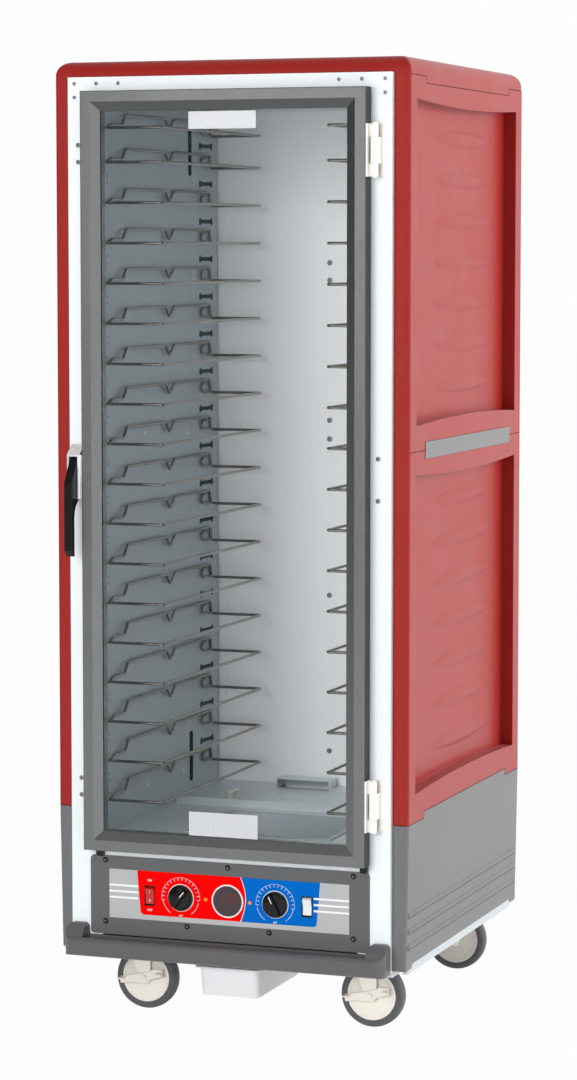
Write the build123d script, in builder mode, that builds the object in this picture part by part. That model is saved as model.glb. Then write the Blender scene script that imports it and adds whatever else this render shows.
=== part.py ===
from build123d import *
import math
import os

# Heated holding cabinet on swivel casters, in millimetres.
# +Z is up, the door faces -Y, X runs to the right, and the floor is Z = 0.
# A cutting solid runs past the face it opens by the value named past.

# Overall body
armour_half_width = 350.0
armour_depth = 730.0
overall_height = 1815.0
lever_reach = 74.0
overall_depth = armour_depth + lever_reach
armour_front = lever_reach - overall_depth / 2
armour_back = overall_depth / 2
seat_gap = 0.3
past = 1.0

# Thicknesses of the wall, from the outside in
armour_thick = 30.5
liner_thick = 1.5
insulation_thick = 37.0
wall_inner = armour_half_width - armour_thick - insulation_thick - liner_thick
post_inner = wall_inner + liner_thick
post_outer = armour_half_width - armour_thick
armour_inner = post_outer
post_depth = 30.0
post_wall = 2.0

# Base, which stands on the casters
wheel_radius = 62.0
caster_clear = 33.0
caster_height = 2 * wheel_radius + caster_clear
base_lip = 35.0
base_sheet = 3.0
base_bottom = caster_height - base_lip
base_top = caster_height + base_sheet
skirt_drop = 14.0
skirt_height = 251.0
skirt_bottom = caster_height - skirt_drop
skirt_foot = 8.0

# Heights of the seams and of the roof
cover_height = 33.3
roof_thick = 70.0
mid_seam_lift = 0.65
lower_seam = caster_height + skirt_height
upper_seam = overall_height - cover_height
mid_seam = (lower_seam + upper_seam) / 2 + mid_seam_lift
seam_step = 13.0
seam_step_inset = 95.0
cavity_top = overall_height - roof_thick

# Face frame
frame_inset = 31.0
frame_proud = 12.0
frame_depth = 14.0
frame_wall = 2.0
frame_over_seam = 3.6
frame_foot = 26.0
jamb_width = 63.0
header_lap = 2.0
sill_rise = 155.0
sill_height = 44.0
frame_half_width = armour_half_width - frame_inset
frame_front = armour_front - frame_proud
frame_back = frame_front + frame_depth
frame_top = upper_seam + frame_over_seam
frame_bottom = caster_height - frame_foot
jamb_inner = frame_half_width - jamb_width
header_bottom = cavity_top - header_lap
sill_bottom = caster_height + sill_rise
sill_top = sill_bottom + sill_height

# Levels of the cavity's floor
floor_drop = 11.0
deck_rise = 16.0
floor_top = sill_top - floor_drop
deck_top = floor_top + deck_rise

# Back of the cavity
back_insulation = 36.5
back_armour_thick = 31.0
back_inner = armour_back - back_armour_thick - back_insulation - liner_thick
back_liner_rear = back_inner + liner_thick
back_armour_front = armour_back - back_armour_thick

# Panel pockets
pocket_depth = 26.0
pocket_edge = 40.0
pocket_bow = 8.5
pocket_margin = 43.0
pocket_lift = 4.0
lower_pocket_margin = 53.0
bump_margin = 40.0
bump_pitch = 77.8
bump_length = 370.0
bump_half_height = 17.0
bump_rise = 5.0
bump_shift = 45.0
edge_round = 5.0
strip_inset = 86.5
strip_length = armour_depth - 2 * strip_inset
strip_height = 31.5
strip_thick = 3.0
strip_proud = 1.0
strip_shift = 8.0

# Top cover
cover_skin = 4.5
cover_round = 26.0

# Door
door_inset = 39.2
door_sill_lap = 22.5
door_header_lap = 15.4
door_half_width = frame_half_width - door_inset
door_bottom = sill_top - door_sill_lap
door_top = header_bottom + door_header_lap
door_height = door_top - door_bottom
door_thick = 31.0
gasket_thick = 4.7
gasket_inset = 4.0
gasket_width = 10.0
door_back = frame_front - seat_gap - gasket_thick
door_front = door_back - door_thick
door_ring = 20.2
door_bevel = 17.5
door_bevel_drop = 8.2
pane_thick = 5.0
pane_grip = 9.0
pane_gap = 0.3
pane_half_width = door_half_width - door_ring - door_bevel + pane_grip - pane_gap

# Hinges
hinge_axis_out = 12.7
hinge_axis_back = 14.0
hinge_axis_x = door_half_width + hinge_axis_out
hinge_axis_y = door_front + hinge_axis_back
hinge_length = 95.5
hinge_end_knuckle = 23.6
hinge_from_top = 114.1
hinge_from_bottom = 113.0
hinge_top_z = door_top - hinge_from_top
hinge_bottom_z = door_bottom + hinge_from_bottom
knuckle_radius = 7.2
hinge_pin_radius = 3.0
running_gap = 0.05
leaf_thick = 3.0
knuckle_gap = 0.4
leaf_plate_width = 24.0
frame_leaf_inset = 3.0
frame_leaf_right = frame_half_width - frame_leaf_inset

# Handle
handle_out = 16.5
handle_width = 26.0
handle_rise = 665.5
handle_height = 101.5
handle_slope = 18.5
handle_clear = 12.0
handle_proud = 2.0
handle_centre_x = -door_half_width - handle_out
handle_bottom = door_bottom + handle_rise
handle_top_back = handle_bottom + handle_height
handle_top_front = handle_top_back - handle_slope
handle_back = frame_front - handle_clear
handle_front = door_front - handle_proud
cheek = 4.3
lever_side_gap = 0.9
lever_kink_rise = 31.0
lever_hang = 107.0
lever_pin_rise = 67.0
lever_pin_in = 9.0
lever_width = handle_width - 2 * cheek - 2 * lever_side_gap
lever_thick = 12.0
lever_kink = handle_bottom + lever_kink_rise
lever_bottom = handle_bottom - lever_hang
lever_chamfer = 11.0
lever_front = -overall_depth / 2
lever_pin_z = handle_bottom + lever_pin_rise
lever_pin_radius = 3.0
lever_pin_y = door_front + lever_pin_in

# Bumper
bumper_over = 1.0
bumper_depth = 50.0
bumper_height = 35.0
ear_rise = 22.0
ear_width = 37.0
bumper_half_width = frame_half_width + bumper_over
bumper_bottom = frame_bottom
bumper_top = bumper_bottom + bumper_height
ear_top = bumper_top + ear_rise
ear_inner = bumper_half_width - ear_width
bar_lip = 12.0
bar_back_lip = 4.0
dish_depth = 6.0
lip_round = 9.0
ear_nose = 21.0
ear_flat = 12.0
ear_bulge = 2.5
bumper_round = 24.0
ear_round = 9.0

# Control module
panel_side_gap = 3.7
panel_over_bumper = 2.5
panel_height = 151.0
panel_thick = 3.5
panel_half_width = ear_inner - panel_side_gap
panel_bottom = bumper_top + panel_over_bumper
panel_top = panel_bottom + panel_height
panel_front = frame_front - panel_thick
label_side = 38.8
label_drop = 24.9
label_rise = 32.5
label_thick = 0.5
label_half_width = panel_half_width - label_side
label_top = panel_top - label_drop
label_bottom = panel_bottom + label_rise
label_front = panel_front - label_thick
control_rise = 46.8
control_z = label_bottom + control_rise
knob_x = 94.7
knob_radius = 24.5
knob_depth = 16.0
knob_disc = 4.0
knob_ledge = 3.5
knob_dome = 3.0
knob_shaft_radius = 3.0
knob_shaft_length = 14.0
grip_width = 11.0
grip_inset = 2.0
heat_pointer = 40.0
moisture_pointer = -25.0
lamp_x = 44.5
lamp_radius = 3.6
lamp_height = 2.0
lamp_round = 1.4
display_ring_radius = 32.5
display_radius = 28.7
display_thick = 3.0
ring_chamfer = 0.8
rocker_x = 158.0
rocker_half_width = 8.6
rocker_radius = 17.4
rocker_tip = 9.0
rocker_valley = 6.6
rocker_back = 4.0
rocker_rest_tilt = 8.0
rocker_clear = 0.5
rocker_pin_radius = 1.5
rocker_pin_length = 1.4
bezel_wall = 2.0
bezel_end = 2.1
bezel_half_width = rocker_half_width + bezel_wall
bezel_half_height = rocker_radius + bezel_end
bezel_step = 1.0
bezel_thick = 1.5
bezel_sleeve = 14.0
small_gap = 0.1
panel_screw_side = 8.0
panel_screw_drop = 8.6
panel_screw_rise = 24.9
panel_screw_inner = 82.5
screw_radius = 4.6
screw_height = 2.2
head_round = 0.6

# Slides and uprights
slide_pitch = 76.2
first_slide_rise = 49.4
top_slide_drop = 50.5
least_slide_gap = 40.0
first_slide = deck_top + first_slide_rise
top_slide = cavity_top - top_slide_drop
wire_radius = 2.4
corner_swell = 0.05
slide_reach = 115.0
slide_front_gap = 71.0
slide_back_gap = 52.0
slide_inner = wall_inner - slide_reach
slide_front = frame_back + slide_front_gap
slide_back = back_inner - slide_back_gap
rail_rise = 27.0
rail_low = 7.0
rail_hook_start = slide_front + 17.0
rail_hook_end = slide_front + 69.0
rail_start = slide_front + 87.0
notch_low = slide_back - 228.0
notch_front = notch_low - 19.0
notch_back = notch_low + 27.0
rail_end = slide_back - 7.0
front_upright_thick = 4.0
front_upright_width = 42.0
front_upright_gap = 49.0
front_upright_from = frame_back + front_upright_gap
upright_face = wall_inner - front_upright_thick
rear_upright_gap = 7.0
rear_upright_reach = 87.0
rear_upright_from = slide_back - rear_upright_reach
rear_upright_to = back_inner - rear_upright_gap
upright_sheet = 1.5
bone_from = slide_back - 53.0
bone_to = slide_back + 20.0
bone_end_radius = 8.0
bone_waist = 8.0
bone_drop = 32.0
slot_size = 5.0
slot_pair = 13.0

# Cavity floor
deck_depth = 230.0
step_y = back_inner - deck_depth
floor_sheet = 2.0
outlet_x = -74.0
outlet_width = 116.0
outlet_height = 17.0
outlet_depth = 44.0
outlet_back_gap = 6.0
water_pan_half_width = 150.0
water_pan_front_gap = 136.0
water_pan_back_gap = 43.0
water_pan_front = frame_back + water_pan_front_gap
water_pan_back = step_y - water_pan_back_gap
water_pan_depth = 60.0
pan_rim = 10.0
pan_rim_thick = 1.5
pan_sheet = 1.5
pan_fit = 1.0

# Blower and heater under the deck
blower_from_step = 112.0
blower_y = step_y + blower_from_step
blower_radius = 55.0
blower_height = 36.0
blower_drop = 69.0
blower_bottom = deck_top - blower_drop
blower_blades = 18
blade_thick = 1.5
motor_radius = 38.0
motor_height = 96.0
motor_flange = 46.0
motor_gap = 4.0
motor_shaft_radius = 4.0
heater_radius = 4.2
heater_drop = 61.0
heater_z = deck_top - heater_drop

# Drip pan
drip_half_width = 67.0
drip_taper = 10.0
drip_bottom_half_width = drip_half_width - drip_taper
drip_proud = 10.0
drip_front = frame_front - drip_proud
drip_length = 260.0
drip_hang = 36.5
drip_rim_top = caster_height - drip_hang
drip_rim_thick = 3.0
drip_depth = 56.0
drip_wall = 2.5
drip_rim = 8.0
rail_sheet = 2.5
rail_length = 236.0

# Casters
wheel_width = 30.0
tyre_thick = 14.0
hub_radius = wheel_radius - tyre_thick
caster_inset = 89.0
caster_front_gap = 114.0
caster_rear_gap = 46.0
caster_x = frame_half_width - caster_inset
caster_front_y = frame_back + caster_front_gap
caster_rear_y = back_armour_front - caster_rear_gap
caster_trail = 15.0
caster_plate = 4.0
plate_length = 96.0
plate_width = 76.0
race_radius = 24.0
race_height = 10.0
race_gap = 0.4
king_radius = 5.0
crown_thick = 9.0
fork_sheet = 3.0
fork_gap = 1.8
axle_radius = 5.0
pedal_thick = 3.0
pedal_left = 52.0
pedal_right = 38.0
pedal_pad = 12.0


def block(x_span, y_span, z_span, mode=Mode.ADD):
    """A box between two limits on each axis, added to the part being built."""
    centre = [(low + high) / 2 for low, high in (x_span, y_span, z_span)]
    size = [abs(high - low) for low, high in (x_span, y_span, z_span)]
    with Locations(tuple(centre)):
        Box(*size, mode=mode)


def rod(centre, radius, length, axis="Z", mode=Mode.ADD):
    """A round bar centred at a point and lying along one axis."""
    turns = {"X": (0, 90, 0), "Y": (90, 0, 0), "Z": (0, 0, 0)}
    with Locations(Location(centre, turns[axis])):
        Cylinder(radius, length, mode=mode)


def finish(builder, name):
    """Label a finished piece and write it."""
    builder.part.label = name
    export_step(builder.part, f"parts/{name}.step")


def finish_group(pieces, name):
    """Write several separate solids as one node, without fusing those that touch."""
    group = Compound(label=name, children=[piece for part in pieces for piece in part.solids()])
    export_step(group, f"parts/{name}.step")


def mirrored(piece):
    """The piece and its mirror image on the other side of the cabinet."""
    return [piece, mirror(piece, about=Plane.YZ)]


os.makedirs("parts", exist_ok=True)

# A face whose normal's Y lies below this looks to the front
facing_front = -0.9

pitched_slides = int((top_slide - first_slide - least_slide_gap) / slide_pitch) + 1
slide_heights = [first_slide + slide_pitch * row for row in range(pitched_slides)] + [top_slide]

# Cavity liners: thin sheet walls, with tall air slots near the rear uprights
slot_from_upright = 12.0
slot_width = 9.0
slot_height = 104.0
upper_slot_drop = 81.0
lower_slot_rise = 71.0
slot_y = rear_upright_from - slot_from_upright
with BuildPart() as right_liner:
    block((wall_inner, post_inner), (frame_back, back_liner_rear), (base_top, cavity_top))
    for slot_z in (cavity_top - upper_slot_drop, deck_top + lower_slot_rise):
        block((wall_inner - past, post_inner + past), (slot_y - slot_width / 2, slot_y + slot_width / 2),
              (slot_z - slot_height / 2, slot_z + slot_height / 2), mode=Mode.SUBTRACT)
finish_group(mirrored(right_liner.part), "wall_liners")

with BuildPart() as back_liner:
    block((-wall_inner, wall_inner), (back_inner, back_liner_rear), (base_top, cavity_top))
finish(back_liner, "back_liner")

with BuildPart() as cavity_roof:
    block((-post_outer, post_outer), (frame_back, back_armour_front),
          (cavity_top, cavity_top + liner_thick))
finish(cavity_roof, "cavity_roof")

# Low front floor, cut out for the water pan, with a lip down at the front
pan_hole_half = water_pan_half_width - pan_rim
with BuildPart() as cavity_floor:
    block((-wall_inner, wall_inner), (frame_back, step_y), (floor_top - floor_sheet, floor_top))
    block((-pan_hole_half, pan_hole_half), (water_pan_front + pan_rim, water_pan_back - pan_rim),
          (floor_top - floor_sheet - past, floor_top + past), mode=Mode.SUBTRACT)
finish(cavity_floor, "cavity_floor")

# Raised rear deck over the blower, with its outlet hood and intake louvres
louvre_count = 9
louvre_pitch = 13.0
louvre_gap = 4.0
louvre_from_step = 102.0
louvre_y = step_y + louvre_from_step
louvre_length = 234.0
deck_z = deck_top - floor_sheet
hood_back = back_inner - outlet_back_gap
hood_front = hood_back - outlet_depth
with BuildPart() as rear_deck:
    block((-wall_inner, wall_inner), (step_y, back_inner), (deck_z, deck_top))
    block((-wall_inner, wall_inner), (step_y, step_y + floor_sheet), (floor_top - floor_sheet, deck_z))
    block((outlet_x - outlet_width / 2, outlet_x + outlet_width / 2), (hood_front, hood_back),
          (deck_top, deck_top + outlet_height))
    block((outlet_x - outlet_width / 2 + floor_sheet, outlet_x + outlet_width / 2 - floor_sheet),
          (hood_front - past, hood_back - floor_sheet),
          (deck_z - past, deck_top + outlet_height - floor_sheet), mode=Mode.SUBTRACT)
    with Locations((0, louvre_y, deck_top)):
        with GridLocations(0, louvre_pitch, 1, louvre_count):
            Box(louvre_length, louvre_gap, 3 * floor_sheet, mode=Mode.SUBTRACT)
finish(rear_deck, "rear_deck")

# Hollow corner posts between liner and armour
with BuildPart() as right_posts:
    for post_front in (frame_back, back_armour_front - post_depth):
        block((post_inner, post_outer), (post_front, post_front + post_depth), (base_top, cavity_top))
        block((post_inner + post_wall, post_outer - post_wall),
              (post_front + post_wall, post_front + post_depth - post_wall),
              (base_top - past, cavity_top + past), mode=Mode.SUBTRACT)
finish_group(mirrored(right_posts.part), "corner_posts")

# Face frame: header, jambs and sill as folded channels, open to the rear
frame_pieces = []
for x_span, z_span in (
    ((-frame_half_width, frame_half_width), (header_bottom, frame_top)),
    ((jamb_inner, frame_half_width), (frame_bottom, header_bottom)),
    ((-frame_half_width, -jamb_inner), (frame_bottom, header_bottom)),
    ((-jamb_inner, jamb_inner), (sill_bottom, sill_top)),
):
    with BuildPart() as channel:
        block(x_span, (frame_front, frame_back), z_span)
        block((x_span[0] + frame_wall, x_span[1] - frame_wall),
              (frame_front + frame_wall, frame_back + past),
              (z_span[0] + frame_wall, z_span[1] - frame_wall), mode=Mode.SUBTRACT)
    frame_pieces.append(channel.part)
finish_group(frame_pieces, "face_frame")

# Domed rivets and screws on the face frame
rivet_radius = 3.6
rivet_height = 1.6
rivet_insets = (102.0, 58.0, 13.5)
rivet_drop = 12.0
low_rivet_rise = 5.0
spare_hinge_inset = 20.6
spare_handle_inset = 25.1
spare_hinge_x = -frame_half_width + spare_hinge_inset
spare_handle_x = frame_half_width - spare_handle_inset
rivet_spots = [(side * (frame_half_width - inset), frame_top - rivet_drop)
               for side in (-1, 1) for inset in rivet_insets]
rivet_spots += [(side * (frame_half_width - rivet_insets[-1]), header_bottom + low_rivet_rise)
                for side in (-1, 1)]
screw_spots = [(spare_hinge_x, hinge_top_z + lift) for lift in (14.9, -16.5)]
screw_spots += [(spare_hinge_x, hinge_bottom_z + lift) for lift in (18.4, -13.9)]
screw_spots += [(spare_handle_x, handle_bottom + lift) for lift in (85.5, 8.5)]
with BuildPart() as frame_fasteners:
    for x, z in rivet_spots:
        rod((x, frame_front - rivet_height / 2, z), rivet_radius, rivet_height, "Y")
    for x, z in screw_spots:
        rod((x, frame_front - screw_height / 2, z), screw_radius, screw_height, "Y")
    heads = [face for face in frame_fasteners.faces() if face.normal_at().Y < facing_front]
    fillet([face.edge() for face in heads], rivet_height * head_round)
finish(frame_fasteners, "frame_fasteners")


def stepped_seam(z, y_span):
    """The corners of a seam that steps down by one step in its middle stretch."""
    front, back = y_span
    return [(front, z), (front + seam_step_inset, z), (front + seam_step_inset, z - seam_step),
            (back - seam_step_inset, z - seam_step), (back - seam_step_inset, z), (back, z)]


def pocket_outline(y_span, z_span):
    """A four-sided outline whose top and bottom edges bow inward."""
    front, back = y_span
    low, high = z_span
    middle = (front + back) / 2
    Line((front, low), (front, high))
    ThreePointArc((front, high), (middle, high - pocket_bow), (back, high))
    Line((back, high), (back, low))
    ThreePointArc((back, low), (middle, low + pocket_bow), (front, low))


bump_radius = (bump_half_height ** 2 + bump_rise ** 2) / (2 * bump_rise)


def bump_outline():
    """Half the section of a long swelling: a flat arc over the line it is turned about."""
    half = bump_length / 2
    shoulder = bump_radius - bump_rise
    Polyline((half, shoulder), (half, 0), (-half, 0), (-half, shoulder))
    ThreePointArc((-half, shoulder), (0, bump_radius), (half, shoulder))


def bumps_that_fit(pocket_z):
    """How many swellings a pocket of this height takes."""
    return int((pocket_z[1] - pocket_z[0] - bump_margin) / bump_pitch)


def side_armour(bottom_points, top_points, pocket_z):
    """One moulded side panel with its recessed pocket and swellings."""
    floor_x = armour_half_width - pocket_depth
    with BuildPart() as panel:
        with BuildSketch(Plane.YZ.offset(armour_inner)):
            with BuildLine():
                Polyline(*bottom_points, *reversed(top_points), close=True)
            make_face()
        extrude(amount=armour_half_width - armour_inner)
        tall_edges = panel.edges().filter_by(Axis.Z)
        front_edges = tall_edges.filter_by_position(Axis.Y, armour_front - past, armour_front + past)
        fillet(front_edges.sort_by(Axis.X)[-1], edge_round)
        with BuildSketch(Plane.YZ.offset(armour_half_width)):
            with BuildLine():
                pocket_outline((armour_front + pocket_edge, armour_back - pocket_edge), pocket_z)
            make_face()
        extrude(amount=-pocket_depth, mode=Mode.SUBTRACT)
        middle_z = (pocket_z[0] + pocket_z[1]) / 2
        middle_y = (armour_front + armour_back) / 2 + bump_shift
        bump_count = bumps_that_fit(pocket_z)
        for place in range(bump_count):
            centre_z = middle_z + (place - (bump_count - 1) / 2) * bump_pitch
            axle = (floor_x + bump_rise - bump_radius, middle_y, centre_z)
            with BuildSketch(Plane(axle, x_dir=(0, 1, 0), z_dir=(0, 0, 1))):
                with BuildLine():
                    bump_outline()
                make_face()
            revolve(axis=Axis(axle, (0, 1, 0)))
        block((armour_inner - 2 * bump_radius, armour_inner), (armour_front, armour_back), pocket_z,
              mode=Mode.SUBTRACT)
        strip_middle = (armour_front + armour_back) / 2 + strip_shift
        block((armour_half_width + strip_proud - strip_thick, armour_half_width + past),
              (strip_middle - strip_length / 2, strip_middle + strip_length / 2),
              (mid_seam - strip_height / 2, mid_seam + strip_height / 2), mode=Mode.SUBTRACT)
    return panel.part


armour_span = (armour_front, armour_back)
flat_mid = [(armour_front, mid_seam), (armour_back, mid_seam)]
upper_panel = side_armour(flat_mid, stepped_seam(upper_seam, armour_span),
                          (mid_seam + pocket_margin + pocket_lift, upper_seam - pocket_margin))
finish_group(mirrored(upper_panel), "upper_armour")

raised_seam = [(y, 2 * lower_seam - z) for y, z in stepped_seam(lower_seam, armour_span)]
lower_panel = side_armour(raised_seam, flat_mid,
                          (lower_seam + lower_pocket_margin, mid_seam - pocket_margin))
finish_group(mirrored(lower_panel), "lower_armour")

# Strips over the middle seam
with BuildPart() as right_strip:
    strip_middle = (armour_front + armour_back) / 2 + strip_shift
    block((armour_half_width + strip_proud - strip_thick, armour_half_width + strip_proud),
          (strip_middle - strip_length / 2, strip_middle + strip_length / 2),
          (mid_seam - strip_height / 2, mid_seam + strip_height / 2))
finish_group(mirrored(right_strip.part), "joint_strips")

# Back panels, made like the side panels but with a shallower pocket
back_pocket_depth = 20.0
back_floor_y = armour_back - back_pocket_depth
back_spans = ((lower_seam, mid_seam, lower_pocket_margin), (mid_seam, upper_seam, pocket_margin))
back_panels = []
for low, high, low_margin in back_spans:
    pocket_z = (low + low_margin, high - pocket_margin)
    back_bump_count = bumps_that_fit(pocket_z)
    with BuildPart() as back_panel:
        block((-armour_inner, armour_inner), (back_armour_front, armour_back), (low, high))
        with BuildSketch(Plane.XZ.offset(-armour_back)):
            with BuildLine():
                pocket_outline((-armour_inner + pocket_edge, armour_inner - pocket_edge), pocket_z)
            make_face()
        extrude(amount=back_pocket_depth, mode=Mode.SUBTRACT)
        for place in range(back_bump_count):
            centre_z = sum(pocket_z) / 2 + (place - (back_bump_count - 1) / 2) * bump_pitch
            axle = (0, back_floor_y + bump_rise - bump_radius, centre_z)
            with BuildSketch(Plane(axle, x_dir=(1, 0, 0), z_dir=(0, 0, 1))):
                with BuildLine():
                    bump_outline()
                make_face()
            revolve(axis=Axis(axle, (1, 0, 0)))
        block((-armour_inner, armour_inner), (back_armour_front - 2 * bump_radius, back_armour_front),
              (low, high), mode=Mode.SUBTRACT)
    back_panels.append(back_panel.part)
finish_group(back_panels, "back_armour")

# Lower skirts: sides that draw in toward the floor, with three ribs, and a plain rear for the inlet
skirt_draw = 4.5
rib_count = 3
rib_pitch = 30.0
lowest_rib_rise = 36.0
rib_radius = 5.0
rib_rise = 1.6
inlet_x = -180.0
inlet_rise = 93.0
inlet_z = caster_height + inlet_rise
inlet_half_width = 32.0
inlet_half_height = 24.0
foot_length = 34.0
with BuildPart() as right_skirt:
    with BuildSketch(Plane.YZ.offset(armour_inner)):
        with BuildLine():
            Polyline(*raised_seam, (armour_back, skirt_bottom - skirt_foot),
                     (armour_back - foot_length, skirt_bottom - skirt_foot),
                     (armour_back - foot_length - skirt_foot, skirt_bottom),
                     (armour_front + foot_length + skirt_foot, skirt_bottom),
                     (armour_front + foot_length, skirt_bottom - skirt_foot),
                     (armour_front, skirt_bottom - skirt_foot), close=True)
        make_face()
    extrude(amount=armour_half_width - armour_inner)
    with BuildSketch(Plane.XZ.offset(-armour_back - past)):
        with BuildLine():
            Polyline((armour_half_width, lower_seam),
                     (armour_half_width - skirt_draw, skirt_bottom - skirt_foot),
                     (armour_half_width - skirt_draw, 0), (armour_half_width + past, 0),
                     (armour_half_width + past, lower_seam), close=True)
        make_face()
    extrude(amount=armour_depth + 2 * past, mode=Mode.SUBTRACT)
    front_edges = right_skirt.edges().filter_by_position(Axis.Y, armour_front - past, armour_front + past)
    tall_edges = [edge for edge in front_edges if edge.length > (lower_seam - skirt_bottom) / 2]
    fillet(sorted(tall_edges, key=lambda edge: edge.center().X)[-1], edge_round)
    for rib in range(rib_count):
        rib_z = skirt_bottom + lowest_rib_rise + rib * rib_pitch
        draw_here = skirt_draw * (lower_seam - rib_z) / (lower_seam - skirt_bottom + skirt_foot)
        rib_x = armour_half_width - draw_here + rib_rise - rib_radius
        rod((rib_x, (armour_front + armour_back) / 2, rib_z), rib_radius,
            armour_depth - 3 * edge_round, "Y")
with BuildPart() as rear_skirt:
    block((-armour_inner, armour_inner), (back_armour_front, armour_back), (skirt_bottom, lower_seam))
    block((inlet_x - inlet_half_width, inlet_x + inlet_half_width),
          (back_armour_front - past, armour_back + past),
          (inlet_z - inlet_half_height, inlet_z + inlet_half_height), mode=Mode.SUBTRACT)
finish_group(mirrored(right_skirt.part) + [rear_skirt.part], "side_skirts")

# Power inlet in the rear skirt: a flanged socket body with three blades and no cord
inlet_flange = 5.0
inlet_depth = 24.0
inlet_rim = 10.0
blade_half_width = 3.0
blade_half_thick = 1.0
blade_set_back = 4.0
with BuildPart() as inlet_body:
    block((inlet_x - inlet_half_width, inlet_x + inlet_half_width),
          (back_armour_front, armour_back - inlet_flange),
          (inlet_z - inlet_half_height, inlet_z + inlet_half_height))
    block((inlet_x - inlet_half_width + inlet_rim, inlet_x + inlet_half_width - inlet_rim),
          (armour_back - inlet_depth, armour_back),
          (inlet_z - inlet_half_height + inlet_rim, inlet_z + inlet_half_height - inlet_rim),
          mode=Mode.SUBTRACT)
    for blade_x, blade_z in ((-10, -4), (10, -4), (0, 6)):
        block((inlet_x + blade_x - blade_half_width, inlet_x + blade_x + blade_half_width),
              (armour_back - inlet_depth, armour_back - inlet_flange - blade_set_back),
              (inlet_z + blade_z - blade_half_thick, inlet_z + blade_z + blade_half_thick))
finish(inlet_body, "power_inlet")

# Top cover: a moulded cap with large rounds, a stepped side rim and a notch for the face frame
with BuildPart() as cover_core:
    block((-armour_half_width + cover_skin, armour_half_width - cover_skin),
          (armour_front + cover_skin, armour_back - cover_skin),
          (upper_seam - seam_step - past, overall_height - cover_skin))
    fillet(cover_core.faces().sort_by(Axis.Z)[-1].edges(), cover_round - cover_skin)
with BuildPart() as top_cover:
    block((-armour_half_width, armour_half_width), (armour_front, armour_back),
          (upper_seam - seam_step, overall_height))
    crown = top_cover.faces().sort_by(Axis.Z)[-1]
    fillet(crown.edges(), cover_round)
    corners = top_cover.edges().filter_by(Axis.Z)
    fillet(corners, edge_round)
    add(cover_core.part, mode=Mode.SUBTRACT)
    for end_y in (armour_front, armour_back):
        block((-armour_half_width - past, armour_half_width + past),
              (end_y - seam_step_inset, end_y + seam_step_inset),
              (upper_seam - seam_step - past, upper_seam), mode=Mode.SUBTRACT)
    block((-frame_half_width - seat_gap, frame_half_width + seat_gap),
          (armour_front - past, armour_front + frame_depth),
          (upper_seam - past, frame_top + seat_gap), mode=Mode.SUBTRACT)
finish(top_cover, "top_cover")

# Insulation slabs in the walls, back and roof
with BuildPart() as right_slab:
    block((post_inner, post_outer), (frame_back + post_depth, back_armour_front - post_depth),
          (base_top, cavity_top))
with BuildPart() as back_slab:
    block((-post_inner, post_inner), (back_liner_rear, back_armour_front), (base_top, cavity_top))
with BuildPart() as roof_slab:
    block((-post_outer, post_outer), (armour_front + cover_round, back_armour_front),
          (cavity_top + liner_thick, overall_height - cover_skin))
finish_group(mirrored(right_slab.part) + [back_slab.part, roof_slab.part], "insulation_slabs")

# Base: a flat plate with a folded lip along each side
with BuildPart() as base_plate:
    block((-frame_half_width, frame_half_width), (frame_back, back_armour_front),
          (caster_height, base_top))
with BuildPart() as side_lip:
    block((frame_half_width - base_sheet, frame_half_width), (frame_back, back_armour_front),
          (base_bottom, caster_height))
with BuildPart() as front_lip:
    block((-frame_half_width + base_sheet, frame_half_width - base_sheet),
          (frame_back, frame_back + base_sheet), (base_bottom, caster_height))
with BuildPart() as rear_lip:
    block((-frame_half_width + base_sheet, frame_half_width - base_sheet),
          (back_armour_front - base_sheet, back_armour_front), (base_bottom, caster_height))
finish_group([base_plate.part, *mirrored(side_lip.part), front_lip.part, rear_lip.part], "base_frame")

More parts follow.
